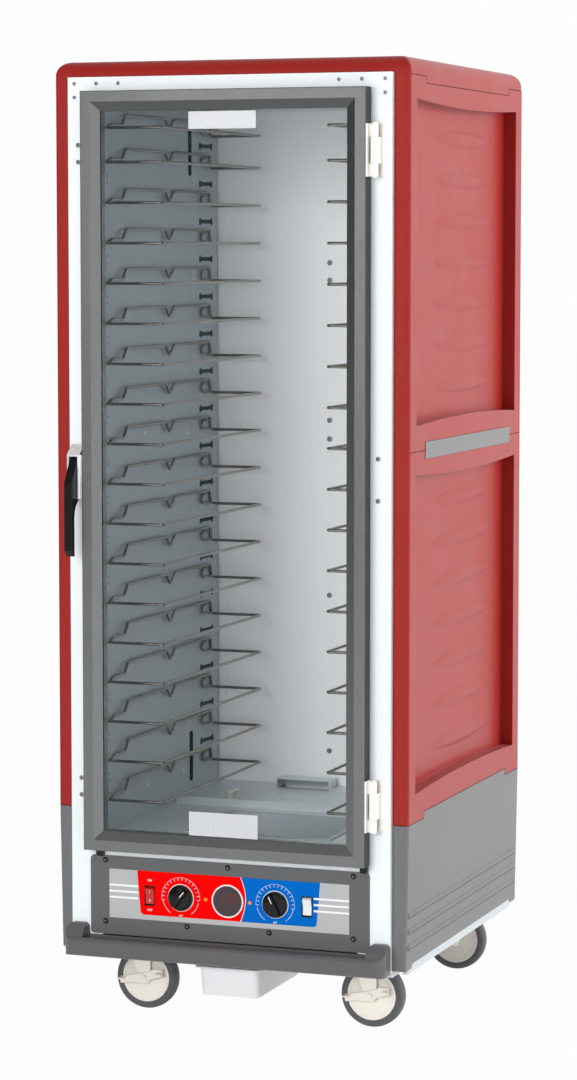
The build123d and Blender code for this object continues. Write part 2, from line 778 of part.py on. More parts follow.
# Bumper: a rounded front bar with a shallow dish along its top and a sloping ear at each end
bumper_front = frame_front - bumper_depth
dish_front = bumper_front + bar_lip
dish_back = frame_front - bar_back_lip
ear_crest = frame_front - ear_flat
nose_z = bumper_bottom + ear_nose
with BuildPart() as bumper:
    with BuildSketch(Plane.YZ.offset(-bumper_half_width)) as bar:
        with BuildLine():
            Polyline((dish_back, bumper_top), (frame_front, bumper_top), (frame_front, bumper_bottom),
                     (bumper_front, bumper_bottom), (bumper_front, bumper_top), (dish_front, bumper_top))
            ThreePointArc((dish_front, bumper_top), ((dish_front + dish_back) / 2, bumper_top - dish_depth),
                          (dish_back, bumper_top))
        make_face()
        fillet(bar.vertices().filter_by_position(Axis.X, bumper_front - past, bumper_front + past), lip_round)
    extrude(amount=2 * bumper_half_width)
    for side in (-1, 1):
        with BuildSketch(Plane.YZ.offset(side * ear_inner)) as ear:
            with BuildLine():
                Polyline((ear_crest, ear_top), (frame_front, ear_top), (frame_front, bumper_bottom),
                         (bumper_front, bumper_bottom), (bumper_front, nose_z))
                ThreePointArc((bumper_front, nose_z), ((bumper_front + ear_crest) / 2 - ear_bulge,
                              (nose_z + ear_top) / 2 + ear_bulge), (ear_crest, ear_top))
            make_face()
            low_corners = ear.vertices().filter_by_position(Axis.X, bumper_front - past, bumper_front + past)
            fillet(low_corners.sort_by(Axis.Y)[0], lip_round)
        extrude(amount=side * (bumper_half_width - ear_inner))
    with BuildSketch(Plane.XY.offset(bumper_bottom)) as plan:
        with Locations((0, (bumper_front + frame_front) / 2)):
            Rectangle(2 * bumper_half_width, bumper_depth)
        fillet(plan.vertices().filter_by_position(Axis.Y, bumper_front - past, bumper_front + past),
               bumper_round)
    extrude(amount=ear_top - bumper_bottom, mode=Mode.INTERSECT)
    with BuildSketch(Plane.XZ.offset(-frame_front - past)) as face:
        with Locations((0, (bumper_bottom + ear_top) / 2)):
            Rectangle(2 * bumper_half_width, ear_top - bumper_bottom)
        fillet(face.vertices().filter_by_position(Axis.Y, ear_top - past, ear_top + past), ear_round)
        with Locations((0, (bumper_top + ear_top + past) / 2)):
            Rectangle(2 * ear_inner, ear_rise + past, mode=Mode.SUBTRACT)
        crests = face.vertices().filter_by_position(Axis.Y, ear_top - past, ear_top + past)
        fillet(crests.sort_by(Axis.X)[1:3], ear_round)
    extrude(amount=bumper_depth + 2 * past, mode=Mode.INTERSECT)
finish(bumper, "bumper")

# Control panel plate with openings for the controls
panel_round = 8.0
switch_hole_half_width = bezel_half_width - small_gap
switch_hole_half_height = bezel_half_height - bezel_step - small_gap
with BuildPart() as control_panel:
    with BuildSketch(Plane.XZ.offset(-frame_front)):
        with Locations((0, (panel_top + panel_bottom) / 2)):
            RectangleRounded(2 * panel_half_width, panel_top - panel_bottom, panel_round)
        with Locations((-knob_x, control_z), (knob_x, control_z)):
            Circle(knob_shaft_radius + running_gap, mode=Mode.SUBTRACT)
        with Locations((-rocker_x, control_z), (rocker_x, control_z)):
            Rectangle(2 * switch_hole_half_width, 2 * switch_hole_half_height, mode=Mode.SUBTRACT)
    extrude(amount=panel_thick)
finish(control_panel, "control_panel")

# Printed fascia sheet on the panel
with BuildPart() as fascia_label:
    with BuildSketch(Plane.XZ.offset(-panel_front)):
        with Locations((0, (label_top + label_bottom) / 2)):
            Rectangle(2 * label_half_width, label_top - label_bottom)
        with Locations((-knob_x, control_z), (knob_x, control_z)):
            Circle(knob_shaft_radius + small_gap, mode=Mode.SUBTRACT)
        with Locations((-rocker_x, control_z), (rocker_x, control_z)):
            Rectangle(2 * switch_hole_half_width, 2 * switch_hole_half_height, mode=Mode.SUBTRACT)
    extrude(amount=label_thick)
finish(fascia_label, "fascia_label")

# Switch bezels and the display's ring
sleeve_half_width = switch_hole_half_width - small_gap
sleeve_half_height = switch_hole_half_height - small_gap
mouth_half_width = rocker_half_width + rocker_clear
mouth_half_height = rocker_radius + rocker_clear
rocker_axle_y = label_front + bezel_sleeve / 2
bezels = []
for side in (-1, 1):
    centre_x = side * rocker_x
    with BuildPart() as bezel:
        block((centre_x - bezel_half_width, centre_x + bezel_half_width),
              (label_front - bezel_thick, label_front),
              (control_z - bezel_half_height, control_z + bezel_half_height))
        block((centre_x - sleeve_half_width, centre_x + sleeve_half_width),
              (label_front, label_front + bezel_sleeve),
              (control_z - sleeve_half_height, control_z + sleeve_half_height))
        block((centre_x - mouth_half_width, centre_x + mouth_half_width),
              (label_front - bezel_thick - past, label_front + bezel_sleeve + past),
              (control_z - mouth_half_height, control_z + mouth_half_height), mode=Mode.SUBTRACT)
        for pin_side in (-1, 1):
            rod((centre_x + pin_side * rocker_half_width, rocker_axle_y, control_z),
                rocker_pin_radius, rocker_pin_length, "X")
    bezels.append(bezel.part)
with BuildPart() as display_ring:
    with BuildSketch(Plane.XZ.offset(-label_front)):
        with Locations((0, control_z)):
            Circle(display_ring_radius)
            Circle(display_radius, mode=Mode.SUBTRACT)
    extrude(amount=display_thick)
    chamfer(display_ring.faces().sort_by(Axis.Y)[0].edges(), ring_chamfer)
finish_group(bezels + [display_ring.part], "fascia_bezels")

with BuildPart() as display_lens:
    rod((0, label_front - display_thick / 3, control_z), display_radius - small_gap,
        2 * display_thick / 3, "Y")
finish(display_lens, "display_lens")

with BuildPart() as indicator_lamps:
    for side in (-1, 1):
        rod((side * lamp_x, label_front - lamp_height / 2, control_z), lamp_radius, lamp_height, "Y")
    lamp_faces = [face for face in indicator_lamps.faces() if face.normal_at().Y < facing_front]
    fillet([edge for face in lamp_faces for edge in face.edges()], lamp_round)
finish(indicator_lamps, "indicator_lamps")

outer_screw_x = label_half_width + panel_screw_side
panel_screw_spots = [(x, panel_top - panel_screw_drop) for x in (-outer_screw_x, 0, outer_screw_x)]
panel_screw_spots += [(x, panel_bottom + panel_screw_rise)
                      for x in (-outer_screw_x, -panel_screw_inner, panel_screw_inner, outer_screw_x)]
with BuildPart() as panel_screws:
    for x, z in panel_screw_spots:
        rod((x, panel_front - screw_height / 2, z), screw_radius, screw_height, "Y")
    head_faces = [face for face in panel_screws.faces() if face.normal_at().Y < facing_front]
    fillet([edge for face in head_faces for edge in face.edges()], screw_height * head_round)
finish(panel_screws, "panel_screws")


def knob(centre_x, pointer):
    """A round skirt, a grip bar that shows the setting, and a shaft through the panel."""
    back_y = label_front - seat_gap
    face = Plane((centre_x, back_y - knob_disc, control_z), x_dir=(1, 0, 0), z_dir=(0, -1, 0))
    with BuildPart() as turned:
        rod((centre_x, back_y - knob_disc / 2, control_z), knob_radius, knob_disc, "Y")
        with BuildSketch(face):
            Circle(knob_radius - knob_ledge)
        extrude(amount=knob_dome, taper=12)
        with BuildSketch(face):
            with Locations(Location((0, 0), -pointer)):
                SlotOverall(2 * (knob_radius - grip_inset), grip_width, rotation=90)
        extrude(amount=knob_depth - knob_disc, taper=5)
        rod((centre_x, back_y + knob_shaft_length / 2, control_z), knob_shaft_radius,
            knob_shaft_length, "Y")
    return turned


finish(knob(-knob_x, heat_pointer), "heat_knob")
finish(knob(knob_x, moisture_pointer), "moisture_knob")


def rocker(centre_x, tilt):
    """A switch paddle: a shallow valley in front, round ends, and a hole for its pins."""
    left_x = centre_x - rocker_half_width
    lean = math.radians(tilt)
    turned = Plane((left_x, rocker_axle_y, control_z), x_dir=(0, -math.sin(lean), math.cos(lean)),
                   z_dir=(1, 0, 0))
    tip_z = math.sqrt(rocker_radius ** 2 - rocker_tip ** 2)
    with BuildPart() as paddle:
        with BuildSketch(turned):
            with BuildLine():
                Polyline((tip_z, rocker_tip), (0, rocker_valley), (-tip_z, rocker_tip))
                RadiusArc((-tip_z, rocker_tip), (-rocker_radius, 0), -rocker_radius)
                Polyline((-rocker_radius, 0), (-rocker_radius / 2, -rocker_back),
                         (rocker_radius / 2, -rocker_back), (rocker_radius, 0))
                RadiusArc((rocker_radius, 0), (tip_z, rocker_tip), -rocker_radius)
            make_face()
        extrude(amount=2 * rocker_half_width)
        rod((centre_x, rocker_axle_y, control_z), rocker_pin_radius + running_gap,
            3 * rocker_half_width, "X", mode=Mode.SUBTRACT)
    return paddle


finish(rocker(-rocker_x, rocker_rest_tilt), "power_rocker")
finish(rocker(rocker_x, rocker_rest_tilt), "mode_rocker")

# Door ring: a flat face, a bevel down to the glass, and a groove that holds the pane
door_middle_z = (door_bottom + door_top) / 2
glass_lip = 1.0
pane_front = door_front + door_bevel_drop + glass_lip
door_edge_round = 1.5
door_face = Plane((0, door_front, door_middle_z), x_dir=(1, 0, 0), z_dir=(0, -1, 0))


def door_rectangle(inset):
    """A rectangle set in from the door's outer edge."""
    return Rectangle(2 * (door_half_width - inset), door_height - 2 * inset)


with BuildPart() as door_frame:
    block((-door_half_width, door_half_width), (door_front, door_back), (door_bottom, door_top))
    fillet(door_frame.faces().sort_by(Axis.Y)[0].edges(), door_edge_round)
    block((-door_half_width + door_ring + door_bevel, door_half_width - door_ring - door_bevel),
          (door_front - past, door_back + past),
          (door_bottom + door_ring + door_bevel, door_top - door_ring - door_bevel), mode=Mode.SUBTRACT)
    with BuildSketch(door_face):
        door_rectangle(door_ring)
    with BuildSketch(door_face.offset(-door_bevel_drop)):
        door_rectangle(door_ring + door_bevel)
    loft(mode=Mode.SUBTRACT)
    groove_inset = door_ring + door_bevel - pane_grip
    block((-door_half_width + groove_inset, door_half_width - groove_inset),
          (pane_front, pane_front + pane_thick),
          (door_bottom + groove_inset, door_top - groove_inset), mode=Mode.SUBTRACT)
finish(door_frame, "door_frame")

pane_bottom = door_bottom + groove_inset + pane_gap
pane_top = door_top - groove_inset - pane_gap
with BuildPart() as door_pane:
    block((-pane_half_width, pane_half_width), (pane_front, pane_front + pane_thick),
          (pane_bottom, pane_top))
finish(door_pane, "door_pane")

with BuildPart() as door_gasket:
    with BuildSketch(Plane((0, door_back, door_middle_z), x_dir=(1, 0, 0), z_dir=(0, 1, 0))):
        door_rectangle(gasket_inset)
        Rectangle(2 * (door_half_width - gasket_inset - gasket_width),
                  door_height - 2 * (gasket_inset + gasket_width), mode=Mode.SUBTRACT)
    extrude(amount=gasket_thick)
finish(door_gasket, "door_gasket")

# Blank plates on the pane: one under the header and one above the sill
plate_thick = 0.8
upper_plate_half_width = 66.0
upper_plate_height = 32.0
upper_plate_drop = 2.7
lower_plate_half_width = 68.5
lower_plate_height = 45.0
lower_plate_rise = 1.8
pane_edge = door_ring + door_bevel
upper_plate_top = door_top - pane_edge - upper_plate_drop
lower_plate_bottom = door_bottom + pane_edge + lower_plate_rise
with BuildPart() as upper_plate:
    block((-upper_plate_half_width, upper_plate_half_width), (pane_front - plate_thick, pane_front),
          (upper_plate_top - upper_plate_height, upper_plate_top))
with BuildPart() as lower_plate:
    block((-lower_plate_half_width, lower_plate_half_width), (pane_front - plate_thick, pane_front),
          (lower_plate_bottom, lower_plate_bottom + lower_plate_height))
plates = [upper_plate.part, lower_plate.part]
finish_group(plates, "door_plates")

# Hinges: each door leaf carries the end knuckles, each frame leaf the middle one and the pin
door_leaf_inner = door_half_width + leaf_thick
leaf_front = hinge_axis_y - leaf_plate_width / 2
middle_knuckle = hinge_length - 2 * hinge_end_knuckle - 2 * knuckle_gap
pin_head = 1.5
door_leaves = []
frame_leaves = []
for hinge_z in (hinge_top_z, hinge_bottom_z):
    with BuildPart() as door_leaf:
        block((door_half_width, door_leaf_inner), (leaf_front, leaf_front + leaf_plate_width),
              (hinge_z - hinge_length / 2, hinge_z + hinge_length / 2))
        for end in (-1, 1):
            knuckle_z = hinge_z + end * (hinge_length - hinge_end_knuckle) / 2
            block((door_half_width, hinge_axis_x),
                  (hinge_axis_y - leaf_thick / 2, hinge_axis_y + leaf_thick / 2),
                  (knuckle_z - hinge_end_knuckle / 2, knuckle_z + hinge_end_knuckle / 2))
            rod((hinge_axis_x, hinge_axis_y, knuckle_z), knuckle_radius, hinge_end_knuckle)
        rod((hinge_axis_x, hinge_axis_y, hinge_z), hinge_pin_radius + running_gap,
            hinge_length + past, mode=Mode.SUBTRACT)
    door_leaves.append(door_leaf.part)
    web_x = hinge_axis_x + knuckle_radius
    with BuildPart() as frame_leaf:
        block((web_x - leaf_thick, frame_leaf_right), (frame_front - leaf_thick, frame_front),
              (hinge_z - hinge_length / 2, hinge_z + hinge_length / 2))
        block((web_x - leaf_thick, web_x), (hinge_axis_y, frame_front),
              (hinge_z - middle_knuckle / 2, hinge_z + middle_knuckle / 2))
        rod((hinge_axis_x, hinge_axis_y, hinge_z), knuckle_radius, middle_knuckle)
        rod((hinge_axis_x, hinge_axis_y, hinge_z), hinge_pin_radius, hinge_length, mode=Mode.SUBTRACT)
    with BuildPart() as hinge_pin:
        rod((hinge_axis_x, hinge_axis_y, hinge_z), hinge_pin_radius, hinge_length + 2 * knuckle_gap)
        for end in (-1, 1):
            head_z = hinge_z + end * (hinge_length / 2 + knuckle_gap + pin_head / 2)
            rod((hinge_axis_x, hinge_axis_y, head_z), hinge_pin_radius + pin_head, pin_head)
    frame_leaves += [frame_leaf.part, hinge_pin.part]
finish_group(door_leaves, "hinge_door_leaves")
finish_group(frame_leaves, "hinge_frame_leaves")

# Handle: a bracket on the door's side, a cross pin, and a lever that swings out at the bottom
bracket_left = handle_centre_x - handle_width / 2
bracket_right = handle_centre_x + handle_width / 2
slot_wall = 3.0
slot_over_pin = 13.0
slot_slope = 6.0
handle_round = 2.0
slot_rear = handle_back - slot_wall
slot_ceiling = lever_pin_z + slot_over_pin
with BuildPart() as handle_bracket:
    with BuildSketch(Plane.YZ.offset(bracket_left)):
        with BuildLine():
            Polyline((handle_back, handle_bottom), (handle_front, handle_bottom),
                     (handle_front, handle_top_front), (handle_back, handle_top_back), close=True)
        make_face()
    extrude(amount=handle_width)
    tall_edges = handle_bracket.edges().filter_by(Axis.Z)
    fillet(tall_edges.filter_by_position(Axis.Y, handle_front - past, handle_front + past), handle_round)
    block((bracket_right, -door_half_width), (door_front, handle_back), (handle_bottom, handle_top_front))
    block((bracket_left + cheek, bracket_right - cheek), (handle_front - past, slot_rear),
          (handle_bottom - past, slot_ceiling), mode=Mode.SUBTRACT)
    with BuildSketch(Plane.YZ.offset(bracket_left + cheek)):
        with BuildLine():
            Polyline((lever_pin_y, slot_ceiling), (slot_rear, slot_ceiling),
                     (slot_rear, slot_ceiling + slot_slope), (lever_pin_y, slot_ceiling + slot_slope / 2),
                     close=True)
        make_face()
    extrude(amount=handle_width - 2 * cheek, mode=Mode.SUBTRACT)
    rod((handle_centre_x, lever_pin_y, lever_pin_z), lever_pin_radius, handle_width + past, "X",
        mode=Mode.SUBTRACT)
with BuildPart() as lever_pin:
    rod((handle_centre_x, lever_pin_y, lever_pin_z), lever_pin_radius, handle_width, "X")
finish_group([handle_bracket.part, lever_pin.part], "handle_base")

lever_head = 11.0
lever_shoulder = 7.7
lever_back = lever_front + lever_thick
gusset_drop = 42.0
gusset_gap = 6.0
gusset_sag = 12.3
gusset_share = 0.29
gusset_low = handle_bottom - gusset_drop
gusset_back = slot_rear - gusset_gap
with BuildPart() as handle_lever:
    with BuildSketch(Plane.YZ.offset(handle_centre_x - lever_width / 2)):
        with Locations((lever_pin_y, lever_pin_z)):
            Circle(lever_head)
        with BuildLine():
            Polyline((gusset_back, handle_bottom), (gusset_back, lever_pin_z),
                     (lever_pin_y, lever_pin_z + lever_head),
                     (lever_pin_y - lever_shoulder, lever_pin_z + lever_shoulder),
                     (lever_front, lever_kink), (lever_front, lever_bottom + lever_chamfer),
                     (lever_front + lever_chamfer, lever_bottom), (lever_back, lever_bottom),
                     (lever_back, gusset_low))
            ThreePointArc((lever_back, gusset_low),
                          (lever_back + (gusset_back - lever_back) * gusset_share,
                           handle_bottom - gusset_sag), (gusset_back, handle_bottom))
        make_face()
    extrude(amount=lever_width)
    rod((handle_centre_x, lever_pin_y, lever_pin_z), lever_pin_radius + running_gap, handle_width, "X",
        mode=Mode.SUBTRACT)
finish(handle_lever, "handle_lever")

# Catch on the left jamb behind the handle
catch_half_width = 11.0
catch_rise = 13.0
catch_height = 70.0
catch_lip = 4.0
catch_low = handle_bottom + catch_rise
catch_middle = catch_low + catch_height / 2
catch_x = (handle_centre_x - catch_half_width, handle_centre_x + catch_half_width)
with BuildPart() as latch_strike:
    block(catch_x, (frame_front - leaf_thick, frame_front), (catch_low, catch_low + catch_height))
    block(catch_x, (frame_front - 3 * leaf_thick, frame_front), (catch_middle, catch_middle + catch_lip))
finish(latch_strike, "latch_strike")

# Uprights: a slotted strip at the front of each wall and a sheet with waisted openings at the rear
slot_length = 10.0
slot_half = wire_radius + 3 * small_gap
with BuildPart() as front_upright:
    block((upright_face, wall_inner), (front_upright_from, front_upright_from + front_upright_width),
          (floor_top, cavity_top))
    for slide_z in slide_heights:
        block((upright_face - past, wall_inner + past),
              (slide_front - slot_length / 2, slide_front + slot_length / 2),
              (slide_z - slot_half, slide_z + slot_half), mode=Mode.SUBTRACT)
    for slide_z in slide_heights[:-2]:
        for rise in (slot_pair, slide_pitch / 2, slide_pitch / 2 + slot_pair):
            block((upright_face - past, wall_inner + past),
                  (slide_front - slot_size / 2, slide_front + slot_size / 2),
                  (slide_z + rise - slot_size / 2, slide_z + rise + slot_size / 2), mode=Mode.SUBTRACT)
sheet_touch_y = rear_upright_from + (slide_back - rear_upright_from) * upright_sheet / front_upright_thick
bone_ends = (bone_from + bone_end_radius, bone_to - bone_end_radius)
with BuildPart() as rear_upright:
    with BuildSketch(Plane.XY.offset(deck_top)):
        with BuildLine():
            Polyline((wall_inner, rear_upright_from), (upright_face, slide_back),
                     (upright_face, rear_upright_to), (upright_face + upright_sheet, rear_upright_to),
                     (upright_face + upright_sheet, slide_back), (wall_inner, sheet_touch_y), close=True)
        make_face()
    extrude(amount=cavity_top - deck_top)
    for slide_z in slide_heights[:-1]:
        bone_z = slide_z + slide_pitch - bone_drop
        block((upright_face - past, wall_inner + past), bone_ends,
              (bone_z - bone_waist / 2, bone_z + bone_waist / 2), mode=Mode.SUBTRACT)
        for end_y in bone_ends:
            rod((wall_inner, end_y, bone_z), bone_end_radius, 3 * front_upright_thick, "X",
                mode=Mode.SUBTRACT)
finish_group(mirrored(front_upright.part) + mirrored(rear_upright.part), "slide_uprights")


def wire_loop(points, radius, closed=True):
    """Round wire along a path: a straight rod along each side and a slightly fuller ball at each corner."""
    ends = points[1:] + points[:1] if closed else points[1:]
    for start, end in zip(points, ends):
        side = Vector(*end) - Vector(*start)
        with Locations(Plane(Vector(*start) + side * 0.5, z_dir=side)):
            Cylinder(radius, side.length)
    with Locations(*points):
        Sphere(radius + corner_swell, rotation=(90, 0, 0))


# Tray slides: a wire loop with a support run, hooks at both ends and a stepped rail along the wall
rail_x = upright_face - wire_radius - seat_gap
slide_points = [
    (slide_inner, slide_front, 0), (rail_x, slide_front, 0), (rail_x, rail_hook_start, rail_low),
    (rail_x, rail_hook_end, rail_low), (rail_x, rail_start, rail_rise),
    (rail_x, notch_front, rail_rise), (rail_x, notch_low, rail_low), (rail_x, notch_back, rail_rise),
    (rail_x, rail_end, rail_rise), (rail_x, slide_back, 0), (slide_inner, slide_back, 0),
]
peg_length = wall_inner - seat_gap - rail_x
with BuildPart() as slide:
    wire_loop(slide_points, wire_radius)
    rod((rail_x + peg_length / 2, slide_front, 0), wire_radius, peg_length, "X")
right_slides = [slide.part.moved(Location((0, 0, slide_z))) for slide_z in slide_heights]
left_slide = mirror(slide.part, about=Plane.YZ)
left_slides = [left_slide.moved(Location((0, 0, slide_z))) for slide_z in slide_heights]
finish_group(right_slides, "right_slides")
finish_group(left_slides, "left_slides")

# Water pan: a rimmed pan that drops into the cavity floor
body_inset = pan_rim + pan_fit
well_inset = body_inset + pan_sheet
body_x = water_pan_half_width - body_inset
well_x = water_pan_half_width - well_inset
with BuildPart() as water_pan:
    block((-water_pan_half_width, water_pan_half_width), (water_pan_front, water_pan_back),
          (floor_top, floor_top + pan_rim_thick))
    block((-body_x, body_x), (water_pan_front + body_inset, water_pan_back - body_inset),
          (floor_top - water_pan_depth, floor_top))
    fillet(water_pan.faces().sort_by(Axis.Z)[0].edges(), 2 * pan_sheet)
    block((-well_x, well_x), (water_pan_front + well_inset, water_pan_back - well_inset),
          (floor_top - water_pan_depth + pan_sheet, floor_top + pan_rim), mode=Mode.SUBTRACT)
finish(water_pan, "water_pan")

# Module housing under the cavity: floor, sides and rear wall as flat sheets
housing_inset = 67.0
housing_front_gap = 2.0
housing_back_gap = 33.0
housing_half_width = frame_half_width - housing_inset
housing_front = frame_back + housing_front_gap
housing_back = back_inner - housing_back_gap
housing_top = sill_bottom - floor_sheet
housing_floor_top = base_top + floor_sheet
with BuildPart() as housing_floor:
    block((-housing_half_width, housing_half_width), (housing_front, housing_back),
          (base_top, housing_floor_top))
with BuildPart() as housing_side:
    block((housing_half_width - floor_sheet, housing_half_width), (housing_front, housing_back),
          (housing_floor_top, housing_top))
with BuildPart() as housing_rear:
    block((-housing_half_width + floor_sheet, housing_half_width - floor_sheet),
          (housing_back - floor_sheet, housing_back), (housing_floor_top, housing_top))
finish_group([housing_floor.part, *mirrored(housing_side.part), housing_rear.part], "module_housing")

# Blower: a motor on a bridge, and a bladed wheel on its shaft
motor_top = blower_bottom - motor_gap
motor_bottom = motor_top - motor_height
bridge_half = 70.0
with BuildPart() as blower_motor:
    rod((outlet_x, blower_y, (motor_bottom + motor_top) / 2), motor_radius, motor_height)
    block((outlet_x - bridge_half, outlet_x + bridge_half),
          (blower_y - motor_flange, blower_y + motor_flange), (motor_top - floor_sheet, motor_top))
    for side in (-1, 1):
        block((outlet_x + side * (bridge_half - floor_sheet), outlet_x + side * bridge_half),
              (blower_y - motor_flange, blower_y + motor_flange), (housing_floor_top, motor_top))
    rod((outlet_x, blower_y, (motor_top + blower_bottom + blower_height) / 2), motor_shaft_radius,
        blower_height + blower_bottom - motor_top)
finish(blower_motor, "blower_motor")

blade_inner = 38.0
ring_inner = 44.0
hub_boss = 10.0
blade_lean = 30.0
with BuildPart() as blower_wheel:
    rod((outlet_x, blower_y, blower_bottom + floor_sheet / 2), blower_radius, floor_sheet)
    rod((outlet_x, blower_y, blower_bottom + blower_height / 4), hub_boss, blower_height / 2)
    rod((outlet_x, blower_y, blower_bottom + blower_height - floor_sheet / 2), blower_radius, floor_sheet)
    rod((outlet_x, blower_y, blower_bottom + blower_height - floor_sheet / 2), ring_inner, 2 * floor_sheet,
        mode=Mode.SUBTRACT)
    with Locations((outlet_x, blower_y, blower_bottom + blower_height / 2)):
        with PolarLocations((blade_inner + blower_radius) / 2 - blade_thick, blower_blades):
            Box(blower_radius - blade_inner - blade_thick, blade_thick, blower_height - floor_sheet,
                rotation=(0, 0, blade_lean))
    rod((outlet_x, blower_y, blower_bottom + blower_height / 2), motor_shaft_radius + running_gap,
        2 * blower_height, mode=Mode.SUBTRACT)
finish(blower_wheel, "blower_wheel")

# Heater: a bent tube on a low stand beside the blower
heater_right = 200.0
heater_pass = 50.0
heater_near = 37.0
heater_reach = 110.0
heater_tail = 30.0
stand_margin = 10.0
stand_from_step = 87.0
near_y = step_y + heater_near
far_y = near_y + heater_reach
tail_y = far_y + heater_tail
second_x = heater_right - heater_pass
third_x = second_x - heater_pass
heater_left = third_x - heater_pass
heater_points = [(heater_right, tail_y, heater_z), (heater_right, near_y, heater_z),
                 (second_x, near_y, heater_z), (second_x, far_y, heater_z), (third_x, far_y, heater_z),
                 (third_x, near_y, heater_z), (heater_left, near_y, heater_z),
                 (heater_left, tail_y, heater_z)]
stand_y = step_y + stand_from_step
with BuildPart() as heater_tube:
    wire_loop(heater_points, heater_radius, closed=False)
with BuildPart() as heater_stand:
    block((heater_left - stand_margin, heater_right + stand_margin), (stand_y, stand_y + floor_sheet),
          (housing_floor_top, heater_z - heater_radius))
finish_group([heater_tube.part, heater_stand.part], "heating_element")

# Control board behind the panel on four posts, with the dial controls and a transformer
board_half_width = 130.0
board_stand_off = 18.0
board_half_height = 40.0
transformer_left = -220.0
transformer_width = 60.0
transformer_depth = 80.0
transformer_height = 50.0
transformer_front = frame_back + 46.0
board_y = frame_front + board_stand_off
board_thick = 1.6
post_radius = 4.0
dial_body_radius = 9.0
knob_shaft_end = label_front - seat_gap + knob_shaft_length
board_low = control_z - board_half_height
board_high = control_z + board_half_height
board_pieces = []
with BuildPart() as board:
    block((-board_half_width, board_half_width), (board_y, board_y + board_thick), (board_low, board_high))
board_pieces.append(board.part)
for x in (-board_half_width + 2 * post_radius, board_half_width - 2 * post_radius):
    for z in (board_low + 2 * post_radius, board_high - 2 * post_radius):
        with BuildPart() as board_post:
            rod((x, (frame_front + board_y) / 2, z), post_radius, board_y - frame_front, "Y")
        board_pieces.append(board_post.part)
for x in (-knob_x, knob_x):
    with BuildPart() as dial_body:
        rod((x, (knob_shaft_end + seat_gap + board_y) / 2, control_z), dial_body_radius,
            board_y - knob_shaft_end - seat_gap, "Y")
    board_pieces.append(dial_body.part)
with BuildPart() as transformer:
    block((transformer_left, transformer_left + transformer_width),
          (transformer_front, transformer_front + transformer_depth),
          (housing_floor_top, housing_floor_top + transformer_height))
board_pieces.append(transformer.part)
finish_group(board_pieces, "control_board")

# Air sensor: a short probe on two posts at the left of the rear deck
sensor_x = -170.0
sensor_rise = 12.0
sensor_from_step = 30.0
probe_radius = 3.0
probe_length = 60.0
sensor_post = 4.0
post_spread = 35.0
sensor_y = step_y + sensor_from_step
sensor_z = deck_top + sensor_rise
with BuildPart() as air_sensor:
    for y in (sensor_y - post_spread / 2, sensor_y + post_spread / 2):
        block((sensor_x - sensor_post, sensor_x + sensor_post), (y - sensor_post / 2, y + sensor_post / 2),
              (deck_top, sensor_z))
    rod((sensor_x, sensor_y, sensor_z), probe_radius, probe_length, "Y")
finish(air_sensor, "air_sensor")

# Drip pan: a moulded tray that hangs by its rim in two rails under the base
drip_middle_y = drip_front + drip_length / 2
rim_bottom = drip_rim_top - drip_rim_thick
tray_bottom = drip_rim_top - drip_depth
tray_round = 12.0
tray_end_slope = 6.0
rim_plane = Plane((0, drip_middle_y, rim_bottom))
neck_width = 2 * (drip_half_width - drip_rim)
neck_length = drip_length - 2 * drip_rim
with BuildPart() as drip_pan:
    for shrink in (0, drip_wall):
        with BuildSketch(Plane((0, drip_middle_y, tray_bottom + shrink))):
            RectangleRounded(2 * (drip_bottom_half_width - shrink),
                             neck_length - 2 * (tray_end_slope + shrink), tray_round)
        with BuildSketch(rim_plane.offset(shrink)):
            RectangleRounded(neck_width - 2 * shrink, neck_length - 2 * shrink, tray_round)
        loft(mode=Mode.SUBTRACT if shrink else Mode.ADD)
        if not shrink:
            with BuildSketch(rim_plane):
                RectangleRounded(2 * drip_half_width, drip_length, tray_round)
            extrude(amount=drip_rim_thick)
    with BuildSketch(rim_plane):
        RectangleRounded(neck_width - 2 * drip_wall, neck_length - 2 * drip_wall, tray_round)
    extrude(amount=2 * drip_rim_thick, mode=Mode.SUBTRACT)
finish(drip_pan, "drip_pan")

# Rails for the drip pan
rail_side_gap = 1.0
rail_lap_gap = 2.0
rail_front_y = frame_back + base_sheet
rail_outer = drip_half_width + rail_side_gap + rail_sheet
rail_shelf = rim_bottom - seat_gap
with BuildPart() as drip_rail:
    block((rail_outer - rail_sheet, rail_outer), (rail_front_y, rail_front_y + rail_length),
          (rail_shelf - rail_sheet, caster_height))
    block((drip_half_width - drip_rim + rail_lap_gap, rail_outer),
          (rail_front_y, rail_front_y + rail_length), (rail_shelf - rail_sheet, rail_shelf))
finish_group(mirrored(drip_rail.part), "drip_rails")

# Casters: a plate with a ball race and king pin, a fork with its axle, and a wheel with a tyre
caster_spots = [("front_left", -caster_x, caster_front_y), ("front_right", caster_x, caster_front_y),
                ("rear_left", -caster_x, caster_rear_y), ("rear_right", caster_x, caster_rear_y)]
race_bottom = caster_height - caster_plate - race_height
crown_top = race_bottom - race_gap
crown_bottom = crown_top - crown_thick
crown_radius = 26.0
nut_thick = 4.0
nut_radius = 9.0
leg_inner = wheel_width / 2 + fork_gap
leg_outer = leg_inner + fork_sheet
swivel_plates = []
for place, x, y in caster_spots:
    with BuildPart() as plate:
        block((x - plate_length / 2, x + plate_length / 2), (y - plate_width / 2, y + plate_width / 2),
              (caster_height - caster_plate, caster_height))
        rod((x, y, race_bottom + race_height / 2), race_radius, race_height)
        pin_bottom = crown_bottom - race_gap - nut_thick
        rod((x, y, (race_bottom + pin_bottom) / 2), king_radius, race_bottom - pin_bottom)
        rod((x, y, pin_bottom + nut_thick / 2), nut_radius, nut_thick)
    swivel_plates.append(plate.part)
finish_group(swivel_plates, "caster_plates")

